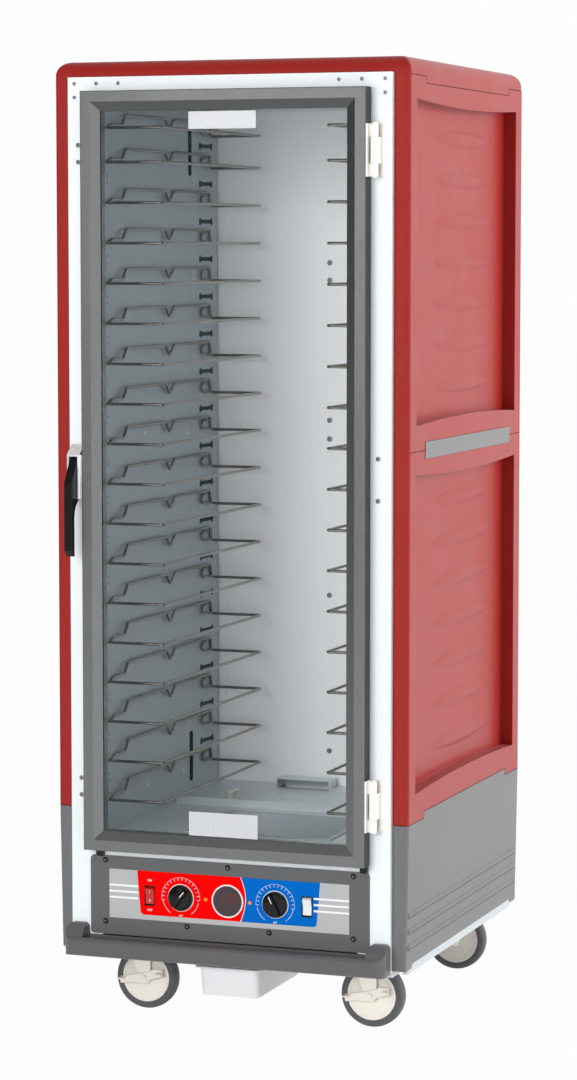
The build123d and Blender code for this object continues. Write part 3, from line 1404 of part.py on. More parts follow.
axle_tail = 2.0
axle_head = 3.0
axle_end = leg_outer + pedal_thick + 2 * seat_gap + axle_tail
eye_radius = 12.0
for place, x, y in caster_spots:
    wheel_x = x + caster_trail
    with BuildPart() as fork:
        rod((x, y, (crown_top + crown_bottom) / 2), crown_radius, crown_thick)
        block((x - crown_radius, x + crown_radius), (y - leg_outer, y + leg_outer), (crown_bottom, crown_top))
        for side in (-1, 1):
            with BuildSketch(Plane((0, y + side * leg_inner, 0), x_dir=(1, 0, 0), z_dir=(0, -1, 0))):
                with BuildLine():
                    Polyline((x - crown_radius, crown_top), (x + crown_radius, crown_top),
                             (wheel_x + eye_radius, wheel_radius), (wheel_x, wheel_radius - eye_radius),
                             (wheel_x - eye_radius, wheel_radius), close=True)
                make_face()
                with Locations((wheel_x, wheel_radius)):
                    Circle(eye_radius)
            extrude(amount=-side * fork_sheet)
        rod((x, y, crown_top), king_radius + running_gap, 4 * crown_thick, mode=Mode.SUBTRACT)
        rod((wheel_x, y, wheel_radius), axle_radius, 4 * leg_outer, "Y", mode=Mode.SUBTRACT)
    with BuildPart() as axle:
        rod((wheel_x, y + (leg_outer - axle_end) / 2, wheel_radius), axle_radius, leg_outer + axle_end, "Y")
        rod((wheel_x, y + leg_outer + axle_head / 2, wheel_radius), nut_radius, axle_head, "Y")
    finish_group([fork.part, axle.part], f"fork_{place}")

hub_set_in = 1.0
hub_half_width = wheel_width / 2 - hub_set_in
hub_dish = 5.0
hub_boss_radius = 14.0
hub_rim = 6.0
tyre_round = 6.0
for place, x, y in caster_spots:
    wheel_x = x + caster_trail
    with BuildPart() as hub:
        rod((wheel_x, y, wheel_radius), hub_radius, 2 * hub_half_width, "Y")
        for side in (-1, 1):
            hub_side = Plane((wheel_x, y + side * hub_half_width, wheel_radius), x_dir=(1, 0, 0),
                             z_dir=(0, side, 0))
            with BuildSketch(hub_side):
                Circle(hub_radius - hub_rim)
                Circle(hub_boss_radius, mode=Mode.SUBTRACT)
            extrude(amount=-hub_dish, mode=Mode.SUBTRACT)
        rod((wheel_x, y, wheel_radius), axle_radius + running_gap, 2 * wheel_width, "Y", mode=Mode.SUBTRACT)
    with BuildPart() as tyre:
        rod((wheel_x, y, wheel_radius), wheel_radius, wheel_width, "Y")
        fillet(tyre.edges(), tyre_round)
        rod((wheel_x, y, wheel_radius), hub_radius, 2 * wheel_width, "Y", mode=Mode.SUBTRACT)
    finish_group([hub.part, tyre.part], f"wheel_{place}")

# Brake pedals on the front casters: a left arm and a right arm, each with a pad that stands out
arm_half_width = 10.0
left_tip_low = -13.0
right_tip_low = 5.0
right_tip_high = 18.0
right_pad_rise = 12.0
for place, x, y in caster_spots[:2]:
    wheel_x = x + caster_trail
    pedal_back = y - leg_outer - seat_gap
    pads = ((wheel_x - pedal_left, wheel_radius),
            (wheel_x + pedal_right - pedal_pad, wheel_radius + right_pad_rise))
    with BuildPart() as pedal:
        with BuildSketch(Plane((wheel_x, pedal_back, wheel_radius), x_dir=(1, 0, 0), z_dir=(0, -1, 0))):
            with BuildLine():
                Polyline((-pedal_left, 0), (-pedal_left / 2, arm_half_width / 2), (0, arm_half_width),
                         (pedal_right / 2, right_tip_high), (pedal_right, right_tip_high),
                         (pedal_right, right_tip_low), (pedal_right / 3, -2), (0, -arm_half_width),
                         (-pedal_left / 2, -arm_half_width), (-pedal_left + pedal_thick, left_tip_low),
                         close=True)
            make_face()
        extrude(amount=pedal_thick)
        for pad_x, pad_z in pads:
            block((pad_x, pad_x + pedal_pad),
                  (pedal_back - pedal_thick - pedal_pad, pedal_back - pedal_thick),
                  (pad_z - pedal_thick, pad_z))
        rod((wheel_x, pedal_back, wheel_radius), axle_radius + running_gap, 4 * pedal_thick, "Y",
            mode=Mode.SUBTRACT)
    finish(pedal, f"pedal_{place}")
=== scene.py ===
"""The looks of a heated holding cabinet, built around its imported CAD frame.

Lengths are in millimetres until placed.
"""

import math

import bmesh
import bpy
from mathutils import Matrix, Vector


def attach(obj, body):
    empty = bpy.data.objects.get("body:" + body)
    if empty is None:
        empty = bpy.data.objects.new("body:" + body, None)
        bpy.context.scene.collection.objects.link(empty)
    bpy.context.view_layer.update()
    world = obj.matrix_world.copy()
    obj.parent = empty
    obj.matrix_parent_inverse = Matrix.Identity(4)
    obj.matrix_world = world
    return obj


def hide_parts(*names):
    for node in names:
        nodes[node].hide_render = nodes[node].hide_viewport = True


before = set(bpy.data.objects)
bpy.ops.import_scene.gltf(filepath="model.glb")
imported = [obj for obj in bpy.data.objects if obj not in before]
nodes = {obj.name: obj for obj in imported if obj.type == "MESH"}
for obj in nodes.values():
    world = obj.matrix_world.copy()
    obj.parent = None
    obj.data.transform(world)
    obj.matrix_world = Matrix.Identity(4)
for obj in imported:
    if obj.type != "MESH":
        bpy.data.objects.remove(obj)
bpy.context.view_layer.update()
MM = 0.001
SIDES = (-1, 1)


# Materials

BEVEL_SAMPLES = 4
GRAIN_DEPTH = 0.3
SHEEN_ROUGHNESS = 0.3
LEAST_ROUGHNESS = 0.02
RUBBED_GREY = (0.8, 0.8, 0.8, 1)
RUB_FROM, RUB_FULL = 0.99, 0.8


def new_node(tree, kind, values=None, operation=None):
    """A shader node, with values for some of its inputs by name or number."""
    made = tree.nodes.new("ShaderNode" + kind)
    if operation:
        made.operation = operation
    for socket, value in (values or {}).items():
        made.inputs[socket].default_value = value
    return made


def colour_mix(tree, factor, colours):
    """A mix of two colours by a factor."""
    made = tree.nodes.new("ShaderNodeMix")
    made.data_type = "RGBA"
    for socket, colour in colours.items():
        made.inputs[socket].default_value = colour
    tree.links.new(factor, made.inputs["Factor"])
    return made


def linear(red, green, blue):
    """A colour given as it looks on screen, from 0 to 255, as the shader wants it."""
    return tuple((c / 255) ** 2.2 for c in (red, green, blue)) + (1.0,)


def surface(name, colour, rough, metal=0.0, mottle=0.05, mottle_scale=9.0, grain=0.0, grain_scale=900.0,
            stretch=(1, 1, 1), rough_play=0.06, round_edge=0.8, edge_tint=0.0, coat=0.0, specular=0.5,
            sheen=0.0):
    """A procedural finish: mottled colour, uneven gloss, fine grain, softened and slightly rubbed edges."""
    material = bpy.data.materials.new(name)
    material.use_nodes = True
    tree = material.node_tree
    link = tree.links.new
    shader = tree.nodes["Principled BSDF"]
    shader.inputs["Metallic"].default_value = metal
    shader.inputs["Coat Weight"].default_value = coat
    shader.inputs["Specular IOR Level"].default_value = specular
    shader.inputs["Sheen Weight"].default_value = sheen
    shader.inputs["Sheen Roughness"].default_value = SHEEN_ROUGHNESS
    place = new_node(tree, "TexCoord")
    scale = new_node(tree, "Mapping", {"Scale": stretch})
    link(place.outputs["Object"], scale.inputs["Vector"])
    cloud = new_node(tree, "TexNoise", {"Scale": mottle_scale, "Detail": 4.0})
    fine = new_node(tree, "TexNoise", {"Scale": grain_scale, "Detail": 2.0})
    for noise in (cloud, fine):
        link(scale.outputs["Vector"], noise.inputs["Vector"])

    tone = linear(*colour)
    dark = tuple(c * (1 - mottle) for c in tone[:3]) + (1,)
    light = tuple(min(1, c * (1 + mottle)) for c in tone[:3]) + (1,)
    colour_out = colour_mix(tree, cloud.outputs["Fac"], {"A": dark, "B": light}).outputs["Result"]
    bevel = new_node(tree, "Bevel", {"Radius": round_edge * MM})
    bevel.samples = BEVEL_SAMPLES
    if edge_tint:
        geometry = new_node(tree, "NewGeometry")
        compare = new_node(tree, "VectorMath", operation="DOT_PRODUCT")
        link(bevel.outputs["Normal"], compare.inputs[0])
        link(geometry.outputs["Normal"], compare.inputs[1])
        mask = new_node(tree, "MapRange", {"From Min": RUB_FROM, "From Max": RUB_FULL, "To Max": edge_tint})
        link(compare.outputs["Value"], mask.inputs["Value"])
        rubbed = colour_mix(tree, mask.outputs["Result"], {"B": RUBBED_GREY})
        link(colour_out, rubbed.inputs["A"])
        colour_out = rubbed.outputs["Result"]
    link(colour_out, shader.inputs["Base Color"])

    gloss = new_node(tree, "MapRange", {"To Min": max(LEAST_ROUGHNESS, rough - rough_play),
                                        "To Max": min(1, rough + rough_play)})
    link(cloud.outputs["Fac"], gloss.inputs["Value"])
    link(gloss.outputs["Result"], shader.inputs["Roughness"])
    bump = new_node(tree, "Bump", {"Strength": grain, "Distance": GRAIN_DEPTH * MM})
    link(fine.outputs["Fac"], bump.inputs["Height"])
    link(bevel.outputs["Normal"], bump.inputs["Normal"])
    link(bump.outputs["Normal"], shader.inputs["Normal"])
    return material


def clear(name, colour, alpha, rough):
    """A see-through finish with faint streaks."""
    material = surface(name, colour, rough, mottle=0.02, mottle_scale=4, grain=0.0, rough_play=0.02,
                       round_edge=0.3)
    material.node_tree.nodes["Principled BSDF"].inputs["Alpha"].default_value = alpha
    return material


# Moulded plastic and vinyl
red_shell = surface("red_moulded", (149, 33, 27), 0.42, mottle=0.04, grain=0.25, grain_scale=1400,
                    round_edge=2.5, edge_tint=0.03, specular=0.4, sheen=0.1)
grey_shell = surface("grey_moulded", (110, 110, 111), 0.45, mottle=0.04, grain=0.25, grain_scale=1400,
                     round_edge=2.5, edge_tint=0.03, specular=0.4, sheen=0.1)
strip_grey = surface("grey_strip", (114, 113, 114), 0.4, mottle=0.04, grain=0.15, grain_scale=1400,
                     round_edge=0.8, specular=0.4)
bumper_skin = surface("bumper_vinyl", (94, 94, 96), 0.34, mottle=0.03, grain=0.10, grain_scale=1000,
                      round_edge=3.0, specular=0.35)
black_plastic = surface("black_plastic", (18, 18, 19), 0.3, specular=0.3, mottle=0.1, grain=0.08,
                        grain_scale=1500, round_edge=0.5)
rubber = surface("grey_rubber", (84, 84, 86), 0.55, mottle=0.05, grain=0.2, grain_scale=1100, round_edge=0.8)
seal = surface("door_seal", (26, 26, 27), 0.6, mottle=0.08, grain=0.2)
hub_cream = surface("hub_cream", (237, 232, 221), 0.34, mottle=0.03, mottle_scale=20, grain=0.05,
                    round_edge=0.6)
rocker_red = surface("rocker_red", (198, 24, 22), 0.25, mottle=0.05, grain=0.02, coat=0.3)
rocker_white = surface("rocker_white", (236, 237, 239), 0.3, mottle=0.02, grain=0.02)
board_green = surface("board_laminate", (20, 92, 52), 0.4, mottle=0.1, grain=0.1)
wool = surface("mineral_wool", (205, 190, 130), 0.9, mottle=0.2, mottle_scale=60, grain=0.8, grain_scale=500)

# Painted metal
white_frame = surface("white_frame_paint", (240, 245, 248), 0.38, mottle=0.015, grain=0.05, grain_scale=1200,
                      round_edge=0.8)
# Painted shade: a greyer copy of the white frame paint, for the base's side lips in shadow under the skirts
shaded_lip_paint = surface("shaded_lip_paint", (196, 203, 207), 0.45, mottle=0.03, grain=0.05, grain_scale=1200,
                       round_edge=0.5)
door_paint = surface("door_powder_coat", (119, 121, 121), 0.27, metal=0.85, mottle=0.03, grain=0.15,
                     grain_scale=1600, round_edge=0.7, edge_tint=0.05)
# Painted shade: darker copies of the door paint, for the shade on the door's outer faces and under its top
# rail
door_shade = surface("door_bevel_in_shade", (86, 88, 88), 0.3, metal=0.85, mottle=0.04, grain=0.1,
                     round_edge=0.8)
door_rim_shade = surface("door_rim_shade", (34, 36, 36), 0.4, specular=0.2, mottle=0.06, grain=0.1, round_edge=0.8)
panel_paint = surface("panel_powder_coat", (99, 100, 101), 0.5, specular=0.25, mottle=0.03, grain=0.25,
                      grain_scale=1700, round_edge=0.6)
lever_plastic = surface("black_lever_paint", (20, 21, 20), 0.34, specular=0.2, mottle=0.1, grain=0.08,
                        grain_scale=1500, round_edge=0.8, edge_tint=0.04)

# Bare and plated metal
plate_silver = surface("plate_silver", (206, 209, 212), 0.3, metal=0.3, mottle=0.03, grain=0.05,
                       stretch=(30, 1, 1), round_edge=0.3)
side_metal = surface("brushed_side", (190, 198, 203), 0.42, metal=0.3, mottle=0.05, grain=0.12,
                     grain_scale=60, stretch=(30, 30, 1.2), round_edge=0.4)
liner_metal = surface("brushed_liner", (248, 251, 253), 0.42, metal=0.12, mottle=0.05, grain=0.12,
                      grain_scale=60, stretch=(30, 30, 1.2), round_edge=0.4)
deck_metal = surface("brushed_deck", (222, 228, 231), 0.40, metal=0.45, mottle=0.05, grain=0.12,
                     grain_scale=60, stretch=(1.5, 30, 30), round_edge=0.4)
wire_metal = surface("bright_wire", (138, 132, 126), 0.22, metal=1.0, mottle=0.06, mottle_scale=40,
                     grain=0.04)
caster_metal = surface("zinc_plate", (232, 227, 216), 0.3, metal=0.6, mottle=0.05, mottle_scale=25,
                       grain=0.05, edge_tint=0.1)
polished = surface("polished_chrome", (236, 239, 241), 0.22, metal=0.55, mottle=0.03, grain=0.02,
                   round_edge=0.8)
screw_metal = surface("plated_screw", (150, 152, 155), 0.3, metal=0.8, mottle=0.06, grain=0.03,
                      round_edge=0.3)
screw_black = surface("black_oxide_screw", (30, 30, 32), 0.18, metal=0.6, mottle=0.08, grain=0.03,
                      round_edge=0.3)
hinge_metal = surface("satin_chrome", (248, 246, 241), 0.3, metal=0.3, mottle=0.03, grain=0.03,
                      round_edge=0.6)
dark_metal = surface("dark_oxide", (66, 66, 70), 0.45, metal=0.6, mottle=0.1, grain=0.1)

# Print, lenses and glass
label_face = surface("label_polycarbonate", (180, 181, 182), 0.32, mottle=0.02, grain=0.04, round_edge=0.2)
print_red = surface("print_red", (252, 3, 4), 0.33, mottle=0.01, grain=0.02, specular=0.04)
print_blue = surface("print_blue", (0, 104, 196), 0.33, mottle=0.01, grain=0.02, specular=0.04)
print_white = surface("print_white", (246, 246, 248), 0.35, mottle=0.01, grain=0.02, specular=0.2)
lens_maroon = surface("lens_maroon", (38, 8, 10), 0.12, mottle=0.1, grain=0.0, coat=0.5)
amber = surface("amber_lens", (226, 140, 36), 0.2, mottle=0.1, mottle_scale=300, grain=0.0, coat=0.5)
digit_red = surface("digit_red", (150, 22, 20), 0.4, mottle=0.05, grain=0.0)
pane_glass = clear("pane_glass", (96, 116, 118), 0.035, 0.04)
tray_plastic = clear("frosted_plastic", (246, 248, 250), 0.8, 0.4)

# Gaps and hollows that light does not reach
seam_shadow = surface("seam_shadow", (52, 14, 11), 0.8, specular=0.05, mottle=0.05, grain=0.05)
rib_shadow = surface("rib_shadow", (78, 78, 79), 0.7, specular=0.1, mottle=0.05, grain=0.05)
upright_slot_shade = surface("upright_slot_painted_shade", (70, 76, 80), 0.7, specular=0.1, mottle=0.1, grain=0.1)
shadow_black = surface("unlit_gap", (9, 9, 10), 0.85, specular=0.05, mottle=0.2, mottle_scale=40, grain=0.1)

finishes = {
    red_shell: ("top_cover", "upper_armour", "lower_armour", "back_armour"),
    strip_grey: ("joint_strips",),
    grey_shell: ("side_skirts",),
    bumper_skin: ("bumper",),
    white_frame: ("face_frame", "base_frame", "corner_posts", "drip_rails"),
    door_paint: ("door_frame",),
    panel_paint: ("control_panel",),
    label_face: ("fascia_label",),
    plate_silver: ("door_plates",),
    side_metal: ("wall_liners", "slide_uprights", "module_housing", "water_pan"),
    liner_metal: ("back_liner",),
    deck_metal: ("cavity_floor", "rear_deck", "cavity_roof", "blower_wheel"),
    caster_metal: ("caster_plates", "fork_front_left", "fork_front_right", "fork_rear_left",
                   "fork_rear_right", "pedal_front_left", "pedal_front_right", "latch_strike",
                   "frame_fasteners", "panel_screws", "air_sensor"),
    hinge_metal: ("hinge_frame_leaves", "hinge_door_leaves"),
    polished: ("handle_base",),
    lever_plastic: ("handle_lever",),
    black_plastic: ("heat_knob", "moisture_knob", "fascia_bezels", "power_inlet"),
    wire_metal: ("left_slides", "right_slides"),
    rubber: ("wheel_front_left", "wheel_front_right", "wheel_rear_left", "wheel_rear_right"),
    seal: ("door_gasket",),
    dark_metal: ("heating_element", "blower_motor"),
    board_green: ("control_board",),
    wool: ("insulation_slabs",),
    rocker_red: ("power_rocker",),
    rocker_white: ("mode_rocker",),
    lens_maroon: ("display_lens",),
    amber: ("indicator_lamps",),
    pane_glass: ("door_pane",),
    tray_plastic: ("drip_pan",),
}
for material, names in finishes.items():
    for name in names:
        nodes[name].data.materials.clear()
        nodes[name].data.materials.append(material)

# Painted shade: the door's narrow outer faces and the bevel under its top rail get darker paint than its
# front.
# Here lengths are in metres.
RIM_SLOT, SHADE_SLOT = 1, 2
FLAT_ENOUGH = 0.9
SLANTED = 0.2
OUTER_X = 0.27
OUTER_Z = (0.34, 1.75)
TOP_RAIL_Z = 1.5
door = nodes["door_frame"]
door.data.materials.append(door_rim_shade)
door.data.materials.append(door_shade)
for face in door.data.polygons:
    facing = door.matrix_world.to_3x3() @ face.normal
    middle = door.matrix_world @ face.center
    at_side = abs(facing.x) > FLAT_ENOUGH and abs(middle.x) > OUTER_X
    at_end = abs(facing.z) > FLAT_ENOUGH and not OUTER_Z[0] < middle.z < OUTER_Z[1]
    if at_side or at_end:
        face.material_index = RIM_SLOT
    elif facing.z < -SLANTED and facing.y < -SLANTED and middle.z > TOP_RAIL_Z:
        face.material_index = SHADE_SLOT


# Shape makers. Each gives a bmesh in millimetres.

BEVEL_STEPS = 3
BEVEL_ANGLE = math.radians(35)
SHARP_ANGLE = math.radians(40)
WIRE_SIDES = 12
WIRE_ARC_STEP = 15
CORNER_SHARE = 0.45
DOME_SIDES = 32
DOME_EDGE = 0.35
CROSS_PROUD, CROSS_DEPTH = 0.03, 0.5
FONT_SIZE = 1.4


def piece(name, shape, material, body, stands_for=(), bevel=0.0, smooth=True):
    """Turn a bmesh in millimetres into a finished piece that rides on a body."""
    mesh = bpy.data.meshes.new(name)
    bmesh.ops.scale(shape, vec=(MM, MM, MM), verts=shape.verts)
    bmesh.ops.recalc_face_normals(shape, faces=shape.faces)
    shape.to_mesh(mesh)
    shape.free()
    made = bpy.data.objects.new(name, mesh)
    bpy.context.scene.collection.objects.link(made)
    mesh.materials.append(material)
    if bevel:
        rounded = made.modifiers.new("rounded", "BEVEL")
        rounded.width = bevel * MM
        rounded.segments = BEVEL_STEPS
        rounded.limit_method = "ANGLE"
        rounded.angle_limit = BEVEL_ANGLE
    if smooth:
        for face in mesh.polygons:
            face.use_smooth = True
        mesh.set_sharp_from_angle(angle=SHARP_ANGLE)
    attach(made, body)
    if stands_for:
        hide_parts(*stands_for)


def circle_turns(count):
    """The angles of evenly spaced points round a circle."""
    return [2 * math.pi * step / count for step in range(count)]


def lathe(profile, origin, axis, segments=64):
    """Turn a profile of (radius, distance along the axis) about an axis through the origin."""
    bm = bmesh.new()
    axis = Vector(axis).normalized()
    side = axis.orthogonal().normalized()
    across = axis.cross(side)
    rings = []
    for radius, along in profile:
        centre = Vector(origin) + axis * along
        if radius < 1e-6:
            rings.append([bm.verts.new(centre)])
            continue
        rings.append([bm.verts.new(centre + side * (radius * math.cos(turn))
                                   + across * (radius * math.sin(turn)))
                      for turn in circle_turns(segments)])
    for low, high in zip(rings, rings[1:]):
        for step in range(segments):
            following = (step + 1) % segments
            corners = [low[step % len(low)], low[following % len(low)], high[following % len(high)],
                       high[step % len(high)]]
            corners = list(dict.fromkeys(corners))
            if len(corners) > 2:
                bm.faces.new(corners)
    return bm


def prism(outline, across_axis, low, high):
    """A closed outline pushed through from low to high along one axis ('x' or 'y')."""
    order = {"x": lambda a, b, c: (c, a, b), "y": lambda a, b, c: (a, c, b)}
    place = order[across_axis]
    bm = bmesh.new()
    first = [bm.verts.new(place(a, b, low)) for a, b in outline]
    second = [bm.verts.new(place(a, b, high)) for a, b in outline]
    bm.faces.new(first)
    bm.faces.new(list(reversed(second)))
    count = len(outline)
    for step in range(count):
        following = (step + 1) % count
        bm.faces.new((first[step], first[following], second[following], second[step]))
    return bm


def box(low, high):
    """A block between two corners."""
    bm = bmesh.new()
    bmesh.ops.create_cube(bm, size=1)
    size = [h - l for l, h in zip(low, high)]
    middle = [(h + l) / 2 for l, h in zip(low, high)]
    bmesh.ops.scale(bm, vec=size, verts=bm.verts)
    bmesh.ops.translate(bm, vec=middle, verts=bm.verts)
    return bm


def side_box(side, x_span, y_span, z_span):
    """A block on the right (side 1), or its mirror image on the left (side -1)."""
    near, far = sorted(side * x for x in x_span)
    return box((near, y_span[0], z_span[0]), (far, y_span[1], z_span[1]))


def side_prism(side, outline, x_span):
    """An outline in Y and Z pushed through a span of X on the right (side 1) or on the left (side -1)."""
    return prism(outline, "x", *sorted(side * x for x in x_span))


def merged(parts):
    """Several bmeshes as one."""
    whole = bmesh.new()
    for part in parts:
        mesh = bpy.data.meshes.new("part")
        part.to_mesh(mesh)
        part.free()
        whole.from_mesh(mesh)
        bpy.data.meshes.remove(mesh)
    return whole


def arc(centre, radius, start, stop, steps):
    """Points on an arc, angles in degrees."""
    turns = [math.radians(start + (stop - start) * step / steps) for step in range(steps + 1)]
    return [(centre[0] + radius * math.cos(turn), centre[1] + radius * math.sin(turn)) for turn in turns]


def band_outline(points, width):
    """The outline of a strip of even width along a line of points."""
    left, right = [], []
    for index, point in enumerate(points):
        before = points[max(0, index - 1)]
        after = points[min(len(points) - 1, index + 1)]
        run = Vector((after[0] - before[0], after[1] - before[1])).normalized()
        off = Vector((-run.y, run.x)) * (width / 2)
        left.append((point[0] + off.x, point[1] + off.y))
        right.append((point[0] - off.x, point[1] - off.y))
    return left + right[::-1]


def band(points, width, low, high):
    """A thin strip of even width along a line of (x, z) points, raised from low to high along Y."""
    return prism(band_outline(points, width), "y", low, high)


def holed(outline, holes, low, high):
    """A flat sheet with holes, drawn in X and Z, from low to high along Y."""
    bm = bmesh.new()
    edges = []
    for loop in [outline] + holes:
        verts = [bm.verts.new((x, low, z)) for x, z in loop]
        edges += [bm.edges.new(pair) for pair in zip(verts, verts[1:] + verts[:1])]
    bmesh.ops.triangle_fill(bm, use_beauty=True, edges=edges)
    grown = bmesh.ops.extrude_face_region(bm, geom=list(bm.faces))
    moved = [item for item in grown["geom"] if isinstance(item, bmesh.types.BMVert)]
    bmesh.ops.translate(bm, vec=(0, high - low, 0), verts=moved)
    return bm


def rounded_path(points, bend, closed):
    """The points of a path with an arc at each corner: the bend radius, or less where runs are short."""
    path = []
    count = len(points)
    for index in range(count):
        here = Vector(points[index])
        if not closed and index in (0, count - 1):
            path.append(here)
            continue
        before = Vector(points[index - 1])
        after = Vector(points[(index + 1) % count])
        into, out = (here - before).normalized(), (after - here).normalized()
        angle = into.angle(out)
        if angle < 1e-3:
            path.append(here)
            continue
        back = min(bend * math.tan(angle / 2), (here - before).length * CORNER_SHARE,
                   (after - here).length * CORNER_SHARE)
        steps = max(2, round(math.degrees(angle) / WIRE_ARC_STEP))
        start, stop = here - into * back, here + out * back
        for step in range(steps + 1):
            t = step / steps
            path.append(start * (1 - t) ** 2 + here * (2 * t * (1 - t)) + stop * t ** 2)
    return path


def bent_wire(points, radius, bend, closed=False):
    """Round wire along a path with rounded corners."""
    path = rounded_path(points, bend, closed)
    bm = bmesh.new()
    rings = []
    total = len(path)
    normal = None
    for index, here in enumerate(path):
        before = path[index - 1] if closed or index else here
        after = path[(index + 1) % total] if closed or index < total - 1 else here
        run = (after - before).normalized()
        if normal is None:
            normal = run.orthogonal().normalized()
        normal = (normal - run * normal.dot(run)).normalized()
        side = run.cross(normal)
        rings.append([bm.verts.new(here + (normal * math.cos(turn) + side * math.sin(turn)) * radius)
                      for turn in circle_turns(WIRE_SIDES)])
    pairs = list(zip(rings, rings[1:]))
    if closed:
        first = rings[0]
        twist = min(range(WIRE_SIDES), key=lambda k: (rings[-1][0].co - first[k].co).length)
        pairs.append((rings[-1], first[twist:] + first[:twist]))
    for low, high in pairs:
        for k in range(WIRE_SIDES):
            following = (k + 1) % WIRE_SIDES
            bm.faces.new((low[k], low[following], high[following], high[k]))
    if not closed:
        bm.faces.new(rings[0])
        bm.faces.new(list(reversed(rings[-1])))
    return bm


def dome(radius, height, spot):
    """A low rounded head standing on the front."""
    profile = [(radius, 0), (radius, height * DOME_EDGE)]
    profile += [(radius * math.cos(a), height * (DOME_EDGE + (1 - DOME_EDGE) * math.sin(a)))
                for a in (math.radians(d) for d in (20, 40, 60, 78))]
    profile.append((0, height))
    return lathe(profile, spot, (0, -1, 0), DOME_SIDES)


def button(spot, facing, radius, height):
    """A low rounded plug or rivet head that stands on a wall."""
    profile = [(0, -0.2), (radius, -0.2), (radius, height * 0.3), (radius * 0.86, height * 0.75),
               (radius * 0.5, height), (0, height)]
    return lathe(profile, spot, facing, DOME_SIDES)


def crosses(spots, size, width, height):
    """The cross recesses in screw heads, as thin bars on top of the heads."""
    parts = []
    for x, y, z in spots:
        low_y, high_y = y - height - CROSS_PROUD, y - height + CROSS_DEPTH
        for half_x, low_z, high_z in ((size, -width, width), (width, -size, -width), (width, width, size)):
            parts.append(box((x - half_x, low_y, z + low_z), (x + half_x, high_y, z + high_z)))
    return merged(parts)


def words(name, text, centre, height, material, body, bold):
    """Flat raised capitals of the given height that face the front."""
    curve = bpy.data.curves.new(name, "FONT")
    curve.body = text
    curve.size = height * FONT_SIZE * MM
    curve.align_x = "CENTER"
    curve.align_y = "CENTER"
    curve.extrude = INK / 2 * MM
    curve.offset = bold * MM
    holder = bpy.data.objects.new(name + "_curve", curve)
    bpy.context.scene.collection.objects.link(holder)
    holder.location = Vector(centre) * MM
    holder.rotation_euler = (math.radians(90), 0, 0)
    bpy.context.view_layer.update()
    mesh = bpy.data.meshes.new_from_object(holder)
    mesh.transform(holder.matrix_world)
    made = bpy.data.objects.new(name, mesh)
    bpy.context.scene.collection.objects.link(made)
    bpy.data.objects.remove(holder)
    mesh.materials.clear()
    mesh.materials.append(material)
    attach(made, body)


# Fascia print: fields, stripes, dial scales and switch words on the label

LABEL_Y = -344.0
CONTROL_Z = 247.8
KNOB_X = 94.7
ROCKER_X = 158.0
SWITCH_X, SWITCH_Z = 9.1, 17.9
INK = 0.12
INK_HIGH = LABEL_Y - INK
INK_LOW = INK_HIGH - INK
FIELD_TOP, FIELD_LOW = 294.6, 210.5
FIELD_TOP_X, FIELD_LOW_X = 183.5, 177
FIELD_CORNER = 8.0
FIELD_SPLIT_X = 26
SPLIT_SWELL = 10.5
SPLIT_STEPS = 24
SPLIT_WIDTH = 1.3
STRIPE_Z = (240.7, 252.3, 263.9)
STRIPE_HALF = 1.9
STRIPES_X = ((171, 240.5), (-240.5, -181.5))
DIAL_RING, RING_WIDTH = 25.6, 1.5
TICK_INNER, TICK_OUTER, TICK_WIDTH = 32.5, 38.5, 0.95
TICK_STEP = 13
SCALE_WIDTH = 0.55
SWEEP_MARK, SWEEP_WIDTH = 36.5, 0.8


def switch_hole(x):
    """The outline of a rocker switch in the label."""
    return [(x - SWITCH_X, CONTROL_Z - SWITCH_Z), (x + SWITCH_X, CONTROL_Z - SWITCH_Z),
            (x + SWITCH_X, CONTROL_Z + SWITCH_Z), (x - SWITCH_X, CONTROL_Z + SWITCH_Z)]


boundary = []
for step in range(SPLIT_STEPS + 1):
    t = step / SPLIT_STEPS
    boundary.append((FIELD_SPLIT_X + SPLIT_SWELL * math.sin(math.pi * t) * (1 - 0.1 * t),
                     FIELD_TOP + (FIELD_LOW - FIELD_TOP) * t))
left_corner = arc((-FIELD_LOW_X + FIELD_CORNER, FIELD_LOW + FIELD_CORNER), FIELD_CORNER, 270, 180, 8)
right_corner = arc((FIELD_LOW_X - FIELD_CORNER, FIELD_LOW + FIELD_CORNER), FIELD_CORNER, 270, 360, 8)
for name, outline, switch_x, ink in (
        ("fascia_red_field", [(-FIELD_TOP_X, FIELD_TOP)] + boundary + left_corner, -ROCKER_X, print_red),
        ("fascia_blue_field", boundary + right_corner + [(FIELD_TOP_X, FIELD_TOP)], ROCKER_X, print_blue)):
    piece(name, holed(outline, [switch_hole(switch_x)], INK_HIGH, LABEL_Y), ink, "cabinet", smooth=False)
white_lines = [band(boundary, SPLIT_WIDTH, INK_LOW, INK_HIGH)]
for z in STRIPE_Z:
    for start, stop in STRIPES_X:
        white_lines.append(box((start, INK_LOW, z - STRIPE_HALF), (stop, INK_HIGH, z + STRIPE_HALF)))
for dial_x, first_tick, last_tick in ((-KNOB_X, -100, 95), (KNOB_X, -95, 100)):
    centre = (dial_x, CONTROL_Z)
    white_lines.append(band(arc(centre, DIAL_RING, 0, 360, 72), RING_WIDTH, INK_LOW, INK_HIGH))
    for angle in range(first_tick, last_tick + 1, TICK_STEP):
        turn = math.radians(90 - angle)
        line = [(centre[0] + r * math.cos(turn), centre[1] + r * math.sin(turn))
                for r in (TICK_INNER, TICK_OUTER)]
        white_lines.append(band(line, TICK_WIDTH, INK_LOW, INK_HIGH))
    for radius, start, stop, steps, width in ((TICK_OUTER, 90 - first_tick, 90 - last_tick, 48, SCALE_WIDTH),
                                              (SWEEP_MARK, 192, 236, 20, SWEEP_WIDTH),
                                              (SWEEP_MARK, 304, 348, 20, SWEEP_WIDTH)):
        white_lines.append(band(arc(centre, radius, start, stop, steps), width, INK_LOW, INK_HIGH))
piece("fascia_white_print", merged(white_lines), print_white, "cabinet", smooth=False)

